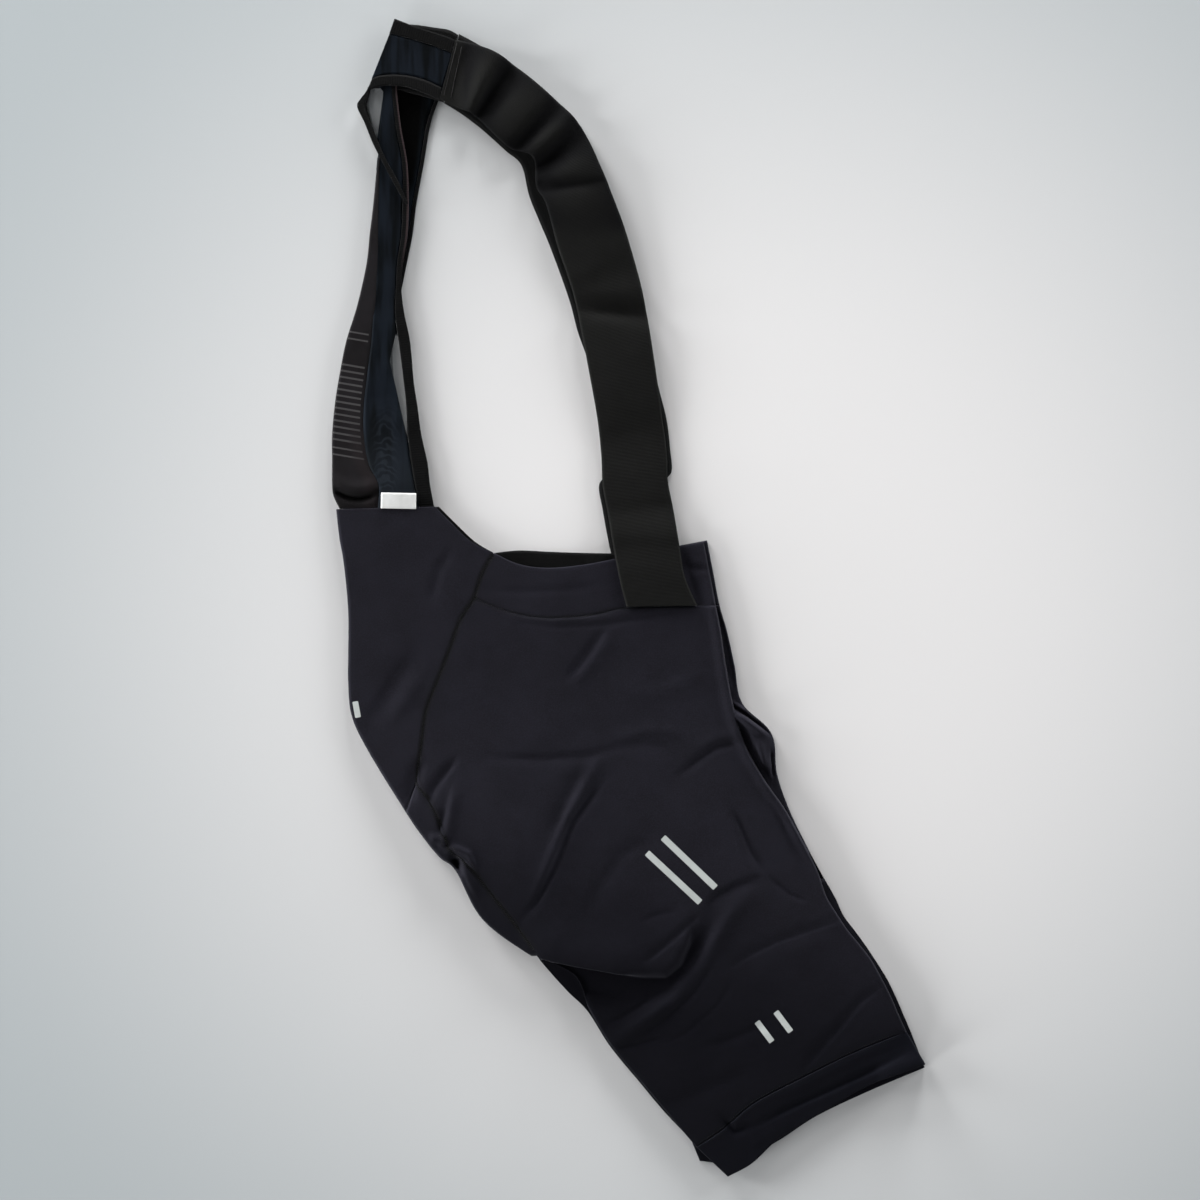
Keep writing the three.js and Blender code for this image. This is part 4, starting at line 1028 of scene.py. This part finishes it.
def hang_over(grid):
    """Moves the lip of the seat sideways over the cloth below it."""
    points = np.asarray(LIP, float)
    x = grid[..., 0].copy()
    y = grid[..., 1].copy()
    for number, ((ax, ay), (bx, by)) in enumerate(zip(points[:-1], points[1:])):
        length = math.hypot(bx - ax, by - ay)
        along_line = ((x - ax) * (bx - ax) + (y - ay) * (by - ay)) / length
        below = ((x - ax) * (by - ay) - (y - ay) * (bx - ax)) / length
        first = smooth(-9, 9, along_line) if number == 0 else smooth(-1, 1, along_line)
        last = smooth(9, -9, along_line - length) if number == len(points) - 2 else smooth(1, -1, along_line - length)
        share = first * last * np.exp(-((below / np.where(below < 0, 6.0, 1.1)) ** 2)) * LIP_OVERHANG
        grid[..., 0] += share * (by - ay) / length
        grid[..., 1] -= share * (bx - ax) / length
    return grid


def raise_edge(grid, lift):
    """Lets the front edge of the upper half stand up a little before it curls down."""
    over = np.linalg.norm(np.diff(grid[..., :2], axis=1), axis=2)[:, ::-1].cumsum(axis=1)[:, ::-1]
    over = np.concatenate([over, np.zeros((grid.shape[0], 1))], axis=1)
    raised = grid.copy()
    raised[..., 2] += lift[:, None] * np.exp(-(((over - 2.2) / 5.0) ** 2)) * smooth(0.0, 1.2, over)
    return raised


def upper_body(t, columns):
    plan = body_plan(t, SIDE_SEAM, FRONT_EDGE, WAIST_TOP)
    curled = smooth(CROTCH_ROW, CROTCH_ROW + 1, t)
    seam = plan(np.zeros((len(t), 1)))[:, 0]
    leg = smooth(GUSSET_ROW, LEG_FRONT_ROW, t)
    rear = {"reach": mix(2.5, 1.6, curled), "steps": 6, "end": mix(upper_height(seam[:, 0], seam[:, 1]), UPPER_LEG_SPLIT + 0.15, curled)}
    front = {"reach": mix(TORSO_REACH, 1.6, leg), "steps": 6, "end": mix(FRONT_END, UPPER_LEG_SPLIT + 0.15, leg)}
    grid = lay(plan, upper_height, np.linspace(0, 1, columns), rear, front)
    lift = mix(1.6, 0.5, leg) * smooth(-0.5, WAIST_ROW + 1.0, t)
    return hang_over(raise_edge(grid, lift))


def lower_body(start, end, rows, columns):
    t = np.linspace(start, end, rows + 1)
    plan = body_plan(t, LOWER_SEAM, LOWER_FRONT, LOWER_WAIST_TOP)
    curled = smooth(CROTCH_ROW, CROTCH_ROW + 1, t)
    leg = smooth(GUSSET_ROW + 0.4, LEG_FRONT_ROW - 0.2, t)
    shows = np.hypot(*(along(LOWER_FRONT, t) - along(FRONT_EDGE, t)).T)
    rear = {"reach": mix(2.5, LEG_REACH, curled), "steps": 4, "end": mix(FLOOR_LAYER, LOWER_LEG_SPLIT - 0.15, curled)}
    front = {
        "reach": mix(FOLD_RADIUS, 0.8, leg) + 0 * t, "steps": 8, "turn": mix(math.pi, math.pi / 2, leg),
        "leaf": mix(shows + UNDER_LAP, 0.05, leg), "leaf_steps": 34,
        "puff": 3.4 * smooth(6, 16, shows) * (1 - leg),
    }
    grid = lay(plan, lower_height, np.linspace(0, 1, columns), rear, front)
    leaf = grid[:, -front["leaf_steps"] :]
    rise = crease_height(leaf[..., 0], leaf[..., 1], LEAF_CREASES)
    leaf[..., 2] = np.clip(leaf[..., 2] + rise * (1 - leg[:, None]), 1.9 * (1 - leg[:, None]), None)
    return grid


def rear_body(start, end, rows, columns, lower):
    t = np.linspace(start, end, rows + 1)
    seam = LOWER_SEAM if lower else SIDE_SEAM
    open_edge = LOWER_ARMHOLE if lower else ARMHOLE
    above = along(open_edge, np.minimum(t, TOP_ROWS))
    below = along(seam, np.maximum(t - TOP_ROWS, 0))
    edge = np.where((t < TOP_ROWS)[:, None], above, below)[:, None]
    contour = along(UPPER_REAR, t)[:, None]

    def plan(u):
        return mix(contour, edge, u[..., None])
    leg = smooth(TOP_ROWS + 11, TOP_ROWS + CROTCH_ROW, t)
    narrow = smooth(TOP_ROWS + GUSSET_ROW, TOP_ROWS + CROTCH_ROW, t)
    height = lower_height if lower else upper_height
    split = mix(REAR_SPLIT, LOWER_LEG_SPLIT, leg) - 0.2 if lower else mix(REAR_SPLIT, UPPER_LEG_SPLIT, leg) + 0.2
    rear = {"reach": mix(TORSO_REACH + (0 if lower else 0.8), 1.5, narrow), "steps": 6, "end": split}
    ends = edge[:, 0]
    front = {"reach": 0.8 + 0 * t, "steps": 1, "end": height(ends[:, 0], ends[:, 1])}
    return lay(plan, height, np.linspace(0, 1, columns), rear, front)


def inner_thigh(rows, columns, lower):
    s = np.linspace(0, 1, rows + 1)
    seam = LOWER_SEAM if lower else SIDE_SEAM
    front_line = LOWER_FRONT if lower else FRONT_EDGE
    left = along(seam, mix(CROTCH_ROW + 0.15, HEM_ROW, s))[:, None]
    right = along(front_line, mix(LEG_FRONT_ROW + 0.3, HEM_ROW, s))[:, None]
    arch = 16 * (1 - smooth(0, 0.7, s))[:, None]
    hem_share = smooth(0.3, 1, s)[:, None, None]

    def plan(u):
        place = mix(left, right, u[..., None]) + bow(HEM_SEAM, u) * hem_share
        place[..., 1] += arch * np.sin(np.pi * u)
        return place
    layer = LOWER_THIGH_LAYER if lower else UPPER_THIGH_LAYER
    end = LOWER_LEG_SPLIT + 0.15 if lower else UPPER_LEG_SPLIT - 0.35
    curl = {"reach": LEG_REACH + 0 * s, "steps": 4, "end": end + 0 * s}
    return lay(plan, thigh_height(layer), np.linspace(0, 1, columns), curl, curl)


def hem_ring(rows, columns, ends, edge_curve, top_height, bottom):
    s = np.linspace(0.003, 1, rows + 1)[:, None]
    last = len(edge_curve) - 1

    def plan(u):
        seam = np.asarray(ends[0], float) + (np.asarray(ends[1], float) - ends[0]) * u[..., None] + bow(HEM_SEAM, u)
        return mix(seam, along(edge_curve, u * last), s[..., None])
    ones = np.ones_like(s)
    length = np.hypot(*(plan(ones)[:, 0] - plan(0 * ones)[:, 0]).T)[:, None]
    share = 1.3 / length
    across = np.linspace(0, 1, columns)[None, :]
    parts = []

    def put(u, z):
        place = plan(u)
        parts.append(np.concatenate([place, z[..., None]], axis=2))
    u = mix(share, 1 - share, across)
    place = plan(u)
    top = top_height(place[..., 0], place[..., 1])
    put(u, top)
    fold = np.pi * np.arange(1, 8)[None, :] / 8
    right_top = top[:, -1:]
    radius = (right_top - bottom) / 2
    put(1 - share * (1 - np.sin(fold)), bottom + radius * (1 + np.cos(fold)))
    put(mix(1 - share, share, across), bottom + 0 * u)
    left_top = top[:, :1]
    radius = (left_top - bottom) / 2
    put(share * (1 - np.sin(fold)), bottom + radius * (1 - np.cos(fold)))
    return stack(*parts)


pieces = {}


def keep(name, grid, wall, material, slot, closed=False, inner=None):
    piece = shell(name + "_cloth", grid, wall, material, closed, inner)
    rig.ride(piece, "root")
    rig.replaces(piece, name)
    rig.slot(piece, slot)
    pieces[name] = piece
    return piece


SIDE_COLUMNS = 154
upper_waist = dip(trim(upper_body(np.linspace(0, WAIST_ROW, 27), SIDE_COLUMNS), ["left", "last"]), ["left", "last"], 0.35, 1.6)
upper_waist = dip(upper_waist, ["first"], 0.4, 1.0)
keep("waistband_right", upper_waist, WALL, lycra, "lycra")
side_rows = np.interp(np.linspace(0, 1, 290), [0, 0.34, 0.79, 1], [WAIST_ROW, 10.8, 15.4, HEM_ROW])
upper_side = trim(upper_body(side_rows, SIDE_COLUMNS), ["left", "first", "last"])
keep("side_panel_right", dip(upper_side, ["left", "first", "last"], 0.35, 1.6), WALL, lycra_side, "lycra")
keep("waistband_left", trim(lower_body(0, WAIST_ROW, 16, 40), ["left", "last"]), WALL, lycra, "lycra", inner=inner_black)
keep("side_panel_left", trim(lower_body(WAIST_ROW, HEM_ROW, 420, 36), ["left", "first", "last"]), WALL, lycra, "lycra")
gusset_start = TOP_ROWS + GUSSET_ROW
gusset_end = TOP_ROWS + CROTCH_ROW
for side, lower in (("right", False), ("left", True)):
    columns, rows = (24, 50) if lower else (46, 120)
    panel = trim(rear_body(0, gusset_start, rows, columns, lower), ["right", "last", "first"])
    panel = dip(panel, ["right"], 0.0 if lower else 0.35, 1.6)
    keep("rear_panel_" + side, panel, WALL, lycra if lower else lycra_rear, "lycra", inner=inner_black if lower else None)
    gusset = trim(rear_body(gusset_start, gusset_end, rows // 2, 8 if lower else 16, lower), ["right", "first", "last"])
    keep("gusset_" + side, dip(gusset, ["right"], 0.0 if lower else 0.3, 1.4), WALL, lycra, "lycra")
    keep("inner_thigh_" + side, trim(inner_thigh(60, 50, lower), ["last"]), 0.8, lycra, "lycra")


def hem_top(x, y):
    return upper_height(x, y)


upper_hem = hem_ring(30, 110, (SIDE_SEAM[HEM_ROW], FRONT_EDGE[HEM_ROW]), HEM_EDGE, hem_top, UPPER_THIGH_LAYER)
keep("hem_band_right", upper_hem, WALL, hem_knit, "hem_knit", closed=True)
lower_hem = hem_ring(20, 60, (LOWER_SEAM[HEM_ROW], LOWER_FRONT[HEM_ROW]), LOWER_HEM_EDGE, thigh_height(LOWER_THIGH_LAYER), FLOOR_LAYER)
keep("hem_band_left", lower_hem, WALL, hem_knit, "hem_knit", closed=True)


# Straps
def band(rows, t, first, columns):
    """Grid in plan across a table's band that starts at column first."""
    values = along(rows, t)
    a = values[:, None, first : first + 2]
    b = values[:, None, first + 2 : first + 4]
    return mix(a, b, np.linspace(0, 1, columns)[None, :, None])


def with_height(plan, z):
    return np.concatenate([plan, np.broadcast_to(z, plan.shape[:2])[..., None]], axis=2)


def shoulder_share(x, y):
    return smooth(-100, -146, x) * smooth(340, 380, y)


strap_t = np.linspace(0, len(UPPER_STRAP_ROWS) - 1, 420)
strap_plan = band(UPPER_STRAP_ROWS, strap_t, 0, 30)
sx, sy = strap_plan[..., 0], strap_plan[..., 1]
strap_z = mix(mix(UPPER_STRAP_LAYER, SHOULDER_LAYER, shoulder_share(sx, sy)), STRAP_OVER_WAIST, smooth(78, 48, sy))
hump = mix(7.2, 3.6, smooth(5.6, 7.6, strap_t)) * smooth(0.5, 1.7, strap_t)
hump = mix(hump, 1.0, smooth(9.5, 11.5, strap_t)) * smooth(17, 15.5, strap_t)
across = np.linspace(0, 1, 30)[None, :]
hump = hump[:, None] * (1 - 0.35 * (2 * across - 1) ** 2)
for inner_row, outer_row, before, after, inner_depth, outer_depth in STRAP_DIPS:
    away = strap_t[:, None] - mix(inner_row, outer_row, across)
    reach = np.where(away < 0, before, after)
    hump = hump - np.minimum(mix(inner_depth, outer_depth, across), hump) * np.exp(-((away / reach) ** 2))
strap_z = strap_z + hump + 0.15 * lumps(sx, sy, 14, 11)
upper_strap = dip(trim(with_height(strap_plan, strap_z), ["first"]), ["left", "right"], 0.35, 1.0)
keep("strap_right", upper_strap, STRAP_WALL, strap_elastic, "strap_elastic")

strap_t = np.linspace(0, len(LOWER_STRAP_ROWS) - 1, 200)
strap_plan = band(LOWER_STRAP_ROWS, strap_t, 0, 16)
sx, sy = strap_plan[..., 0], strap_plan[..., 1]
strap_z = mix(LOWER_STRAP_LAYER, LOWER_SHOULDER_LAYER, shoulder_share(sx, sy))
keep("strap_left", trim(with_height(strap_plan, strap_z), ["first"]), STRAP_WALL, strap_reverse, "strap_elastic")


# Mesh back, folded over at the shoulder
def back_height(x, y):
    return UPPER_BACK_LAYER + 0.5 * smooth(122, 92, y) * smooth(70, 84, y)


def back_band(rows, fold, shoulder_rows, first, columns, under, over):
    fold = np.asarray(fold, float)
    span = fold[-2:] - fold[:2]
    inward = np.array([span[1], -span[0]]) / np.hypot(*span)

    def fold_at(reach):
        return fold + np.tile(inward, len(fold) // 2) * reach
    ends = [fold_at(SHOULDER_RADIUS)]
    lower = np.concatenate([
        band(rows, np.linspace(0, len(rows) - 1, 9 * (len(rows) - 1)), first, columns),
        band([rows[-1]] + ends, np.linspace(0, 1, 9)[1:], first, columns),
    ])
    lower = with_height(lower, under(lower[..., 0], lower[..., 1]))
    upper = np.concatenate([
        band(ends + [shoulder_rows[0]], np.linspace(0, 1, 14), first, columns),
        band(shoulder_rows, np.linspace(0, len(shoulder_rows) - 1, 30)[1:], first, columns),
    ])
    angles = np.pi * np.arange(1, 8) / 8
    turn = []
    for angle in angles:
        row = np.array([fold_at(SHOULDER_RADIUS * (1 - math.sin(angle)))])
        plan = band(np.concatenate([row, row]), np.zeros(1), first, columns)
        turn.append(with_height(plan, mix(under(plan[..., 0], plan[..., 1]), over, (1 - math.cos(angle)) / 2)))
    return np.concatenate([lower] + turn + [with_height(upper, over)])


def upper_under(x, y):
    wave = 0.25 * lumps(x, y, 18, 21) + 0.12 * lumps(x, y, 8, 22)
    return back_height(x, y) + wave * smooth(74, 84, y) * smooth(300, 270, y)


def flat_under(x, y):
    return FLOOR_LAYER + 0 * x


upper_args = (UPPER_BACK_ROWS, UPPER_FOLD, UPPER_SHOULDER_ROWS)
lower_args = (LOWER_BACK_ROWS, LOWER_FOLD, LOWER_SHOULDER_ROWS)
grid = trim(back_band(*upper_args, 0, 14, upper_under, SHOULDER_LAYER), ["first", "last", "right"])
keep("mesh_back_right", grid, MESH_WALL, mesh_upper, "mesh")
grid = trim(back_band(*upper_args, 2, 8, upper_under, SHOULDER_LAYER), ["first", "last", "left"])
keep("binding_side_right", grid, WALL, binding_lined, "binding")
grid = trim(back_band(*lower_args, 2, 14, flat_under, LOWER_SHOULDER_LAYER), ["first", "last", "left", "right"])
keep("mesh_back_left", grid, MESH_WALL, mesh_lower, "mesh")
grid = trim(back_band(*lower_args, 4, 5, flat_under, LOWER_SHOULDER_LAYER), ["first", "last", "left"])
keep("binding_side_left", grid, WALL, binding_tape, "binding")
grid = trim(back_band(*lower_args, 0, 4, flat_under, LOWER_SHOULDER_LAYER), ["first", "last", "right"])
keep("binding_neck_left", grid, WALL, binding_tape, "binding")
neck_t = np.linspace(0, len(NECK_ROWS) - 1, 110)
neck = with_height(band(NECK_ROWS, neck_t, 0, 6), SHOULDER_LAYER)
keep("binding_neck_right", trim(neck, ["last"]), WALL, binding_tape, "binding")

# Centre back panel
centre_t = np.linspace(0, len(CENTRE_ROWS) - 1, 220)
values = along(CENTRE_ROWS, centre_t)[:, :, None]
contour_x, contour_y, upper_x, upper_y, lower_x = (values[:, k] for k in range(5))
u = np.linspace(0, 1, 18)[None, :]
top = back_height(upper_x, upper_y)
crease_y = 84.5 - 5.5 * np.sin(np.pi * u)
bulge = 1.2 * np.exp(-(((contour_y - crease_y - 9) / 5.5) ** 2)) - 2.6 * np.exp(-(((contour_y - crease_y) / 2.6) ** 2))
radius = (top - FLOOR_LAYER) / 2
x = mix(upper_x + 2.2, contour_x + radius, u)
y = mix(upper_y, contour_y, u)
z = top + bulge * smooth(0.0, 0.3, u) * smooth(1.05, 0.85, u) - 0.75 * smooth(0.16, 0.0, u) + 0 * x
upper_leaf = np.stack([x, y, z], axis=-1)
angles = np.pi * np.arange(1, 9)[None, :] / 9
end_top = z[:, -1:]
end_radius = (end_top - FLOOR_LAYER) / 2
turn = np.stack(
    [contour_x + radius * (1 - np.sin(angles)), contour_y + 0 * angles, FLOOR_LAYER + end_radius * (1 + np.cos(angles))], axis=-1
)
x = mix(contour_x + radius, lower_x, np.linspace(0, 1, 6)[None, :])
y = mix(contour_y, upper_y, np.linspace(0, 1, 6)[None, :])
lower_leaf = np.stack([x, y, FLOOR_LAYER + 0 * x], axis=-1)
centre = trim(stack(upper_leaf, turn, lower_leaf), ["first", "left", "right"])
keep("back_centre_panel", centre, 0.7, centre_knit, "centre_panel")

# Label: a thin satin strip, sewn down at its lower edge
lu = np.linspace(-0.5, 0.5, 24)[None, :]
lv = np.linspace(0.5, -0.5, 12)[:, None]
x = -184 + 28 * lu + 0.2 * lv
y = 77.6 + 12.5 * lv - 0.5 * lu
z = 5.1 + 0.25 * np.cos(np.pi * lu) * (lv + 0.5) + 0 * lu
label = np.stack([x + 0 * lv, y + 0 * lu, z], axis=-1)
keep("label", label, 0.4, label_satin, "label_satin")

# Threads of the seams
def line_threads(name, line, height, pitch, length, radius, offset, lean, material, lift=0.3):
    """Short stitches along a line in plan, at an offset to its side and a lean from its direction."""
    line = np.asarray(line, float)
    step = np.linalg.norm(np.diff(line, axis=0), axis=1)
    run = np.concatenate([[0], step.cumsum()])
    places = np.arange(pitch, run[-1] - pitch, pitch)
    x = np.interp(places, run, line[:, 0])
    y = np.interp(places, run, line[:, 1])
    dx = np.gradient(x)
    dy = np.gradient(y)
    size = np.hypot(dx, dy)
    dx, dy = dx / size, dy / size
    x = x - dy * offset
    y = y + dx * offset
    lean_angle = lean * np.where(np.arange(len(x)) % 2, 1, -1) if material is grey_thread else lean + 0 * x
    cos, sin = np.cos(lean_angle), np.sin(lean_angle)
    directions = np.stack([dx * cos - dy * sin, dx * sin + dy * cos, 0 * x], axis=1)
    z = height(x, y) + lift
    return np.stack([x, y, z], axis=1), directions, length, radius, material


def sew(name, lines, owner):
    for number, (centres, directions, length, radius, material) in enumerate(lines):
        piece = threads(f"{name}_{number}", centres, directions, length, radius, material)
        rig.ride(piece, "root")
        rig.slot(piece, owner)
        yield piece


seam_t = np.linspace(0.05, CROTCH_ROW - 0.1, 600)
seam_line = along(SIDE_SEAM, seam_t)
waist_u = np.linspace(0.01, 0.985, 400)
waist_line = along(WAIST_SEAM, waist_u * (len(WAIST_SEAM) - 1))
hem_line = along(HEM_SEAM, np.linspace(0.02, 0.98, 400) * (len(HEM_SEAM) - 1))
flatlock = [
    line_threads("flatlock", seam_line, upper_height, 1.5, 5.0, 0.24, 0.0, 1.25, seam_thread),
    line_threads("flatlock", seam_line, upper_height, 1.5, 1.5, 0.26, 2.3, 0.0, seam_thread, 0.35),
    line_threads("flatlock", seam_line, upper_height, 1.5, 1.5, 0.26, -2.3, 0.0, seam_thread, 0.35),
    line_threads("flatlock", seam_line, upper_height, 1.5, 1.5, 0.22, 0.0, 0.0, seam_thread, 0.3),
]
waist_stitch = [
    line_threads("waist", waist_line, upper_height, 1.6, 3.2, 0.18, 0.0, 1.3, dark_thread, 0.3),
    line_threads("waist", waist_line, upper_height, 1.6, 1.3, 0.18, 2.0, 0.0, dark_thread, 0.35),
    line_threads("waist", waist_line, upper_height, 1.6, 1.3, 0.18, -2.0, 0.0, dark_thread, 0.35),
]
hem_stitch = [
    line_threads("hem", hem_line, upper_height, 1.6, 1.5, 0.26, 1.9, 0.0, hem_thread, 0.35),
    line_threads("hem", hem_line, upper_height, 1.6, 1.5, 0.26, -1.9, 0.0, hem_thread, 0.35),
]


def strap_top(x, y):
    return SHOULDER_LAYER + 0.55 + 0 * x


shoulder_stitch = [
    line_threads("shoulder", np.linspace(low, high, 60), strap_top, 1.6, 1.5, 0.17, 0.0, 0.0, grey_thread)
    for low, high in (([-148, 400.5], [-137.2, 444]), ([-142.5, 398.5], [-133.5, 441]))
]
stitches = {
    "side_panel_right": list(sew("flatlock", flatlock, "lycra")),
    "waistband_right": list(sew("waist", waist_stitch, "lycra")),
    "hem_band_right": list(sew("hem", hem_stitch, "hem_knit")),
    "strap_right": list(sew("shoulder", shoulder_stitch, "strap_elastic")),
}

# Flat sizes of the cuts in metres: width, length, and area where it isn't a rectangle; what each lies on
SHEETS = {
    "waistband_right": (0.190, 0.052, 0.0080, ["waistband_left"]),
    "waistband_left": (0.205, 0.052, 0.0095, ["strap_left", "floor"]),
    "side_panel_right": (0.300, 0.440, 0.097, ["inner_thigh_right", "side_panel_left"]),
    "side_panel_left": (0.315, 0.440, 0.101, ["floor"]),
    "rear_panel_right": (0.120, 0.250, 0.0178, ["rear_panel_left"]),
    "rear_panel_left": (0.120, 0.250, 0.0177, ["floor"]),
    "gusset_right": (0.035, 0.180, 0.0033, ["gusset_left"]),
    "gusset_left": (0.035, 0.180, 0.0028, ["floor"]),
    "inner_thigh_right": (0.225, 0.230, 0.0355, ["inner_thigh_left"]),
    "inner_thigh_left": (0.225, 0.230, 0.0358, ["side_panel_left"]),
    "hem_band_right": (0.366, 0.037, 0.0126, ["inner_thigh_right"]),
    "hem_band_left": (0.366, 0.037, 0.0134, ["floor"]),
    "strap_right": (0.052, 0.510, None, ["strap_left", "waistband_right"]),
    "strap_left": (0.052, 0.505, None, ["floor"]),
    "mesh_back_right": (0.060, 0.440, 0.0102, ["mesh_back_left", "back_centre_panel"]),
    "mesh_back_left": (0.060, 0.440, 0.0111, ["floor"]),
    "binding_side_right": (0.013, 0.440, 0.0036, ["mesh_back_left"]),
    "binding_side_left": (0.013, 0.440, 0.0022, ["floor"]),
    "binding_neck_right": (0.012, 0.190, 0.0010, ["mesh_back_right"]),
    "binding_neck_left": (0.012, 0.440, 0.0018, ["floor"]),
    "back_centre_panel": (0.075, 0.220, 0.0093, ["floor"]),
    "label": (0.028, 0.0125, None, ["mesh_back_right", "rear_panel_right"]),
}

# Floor, light and camera
floor_mesh = bpy.data.meshes.new("floor")
half = 2.5
floor_mesh.from_pydata([(-half, -half, 0), (half, -half, 0), (half, half, 0), (-half, half, 0)], [], [(0, 1, 2, 3)])
floor_material, floor_tree, floor_shader = new_material("floor")
# Painted light: the floor is paler in a broad pool near the garment and darker outwards, standing in for the fall-off
# of the lamps.
floor_place = add(floor_tree, "ShaderNodeTexCoord").outputs["Object"]
floor_shift = add(floor_tree, "ShaderNodeVectorMath", operation="SUBTRACT")
link(floor_tree, floor_place, floor_shift.inputs[0])
floor_shift.inputs[1].default_value = (0.09, -0.02, 0)
floor_length = add(floor_tree, "ShaderNodeVectorMath", operation="LENGTH")
link(floor_tree, floor_shift.outputs[0], floor_length.inputs[0])
painted_light_falloff = ramp(floor_tree, floor_length.outputs["Value"], 0.14, 0.78)
floor_tone = mixed(floor_tree, painted_light_falloff, (0.87, 0.85, 0.84, 1), (0.46, 0.495, 0.505, 1))
link(floor_tree, floor_tone, floor_shader.inputs["Base Color"])
floor_shader.inputs["Roughness"].default_value = 0.9
floor_shader.inputs["Specular IOR Level"].default_value = 0.1
floor_mesh.materials.append(floor_material)
floor = bpy.data.objects.new("floor", floor_mesh)
bpy.context.scene.collection.objects.link(floor)
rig.stage(floor)

for name, (width, length, area, rests) in SHEETS.items():
    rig.sheet(pieces[name], flat=(width, length), held="laid", rests_on=rests, area=area, with_pieces=stitches.get(name, ()))

world = bpy.data.worlds.new("studio")
bpy.context.scene.world = world
world.use_nodes = True
world.node_tree.nodes["Background"].inputs[0].default_value = (0.93, 0.96, 1.0, 1)
world.node_tree.nodes["Background"].inputs[1].default_value = 0.07


def area_light(name, place, aim, size, power, colour):
    data = bpy.data.lights.new(name, "AREA")
    data.shape = "DISK"
    data.size = size
    data.energy = power
    data.color = colour
    light = bpy.data.objects.new(name, data)
    light.location = place
    light.visible_camera = False
    direction = np.asarray(aim, float) - np.asarray(place, float)
    from mathutils import Vector
    light.rotation_euler = Vector(direction).to_track_quat("-Z", "Y").to_euler()
    bpy.context.scene.collection.objects.link(light)
    return light


area_light("key", (-3.3, 4.1, 2.5), (0.0, 0.0, 0.0), 2.4, 76, (1.0, 0.985, 0.98))
for number in range(8):
    turn = math.radians(125 + 45 * number)
    share = math.cos(math.radians(45 * number))
    place = (4.6 * math.cos(turn), 4.6 * math.sin(turn), 0.46 - 0.10 * share)
    strength = 228 + 188 * share
    area_light(f"low_{number}", place, (0.0, 0.0, 0.0), 1.5, strength, (0.97, 0.985, 1.0))

camera_data = bpy.data.cameras.new("camera")
camera_data.lens = 85
camera_data.sensor_width = 36
camera = bpy.data.objects.new("camera", camera_data)
camera.location = (-0.0232, -0.0016, 0.96 * 85 / 36)
bpy.context.scene.collection.objects.link(camera)
bpy.context.scene.camera = camera
bpy.context.scene.view_settings.view_transform = "Standard"

with open("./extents.json", "w") as out:
    json.dump({"cad": [list(map(float, c)) for c in cad_box], "visual": [list(map(float, c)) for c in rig.bounds()]}, out)
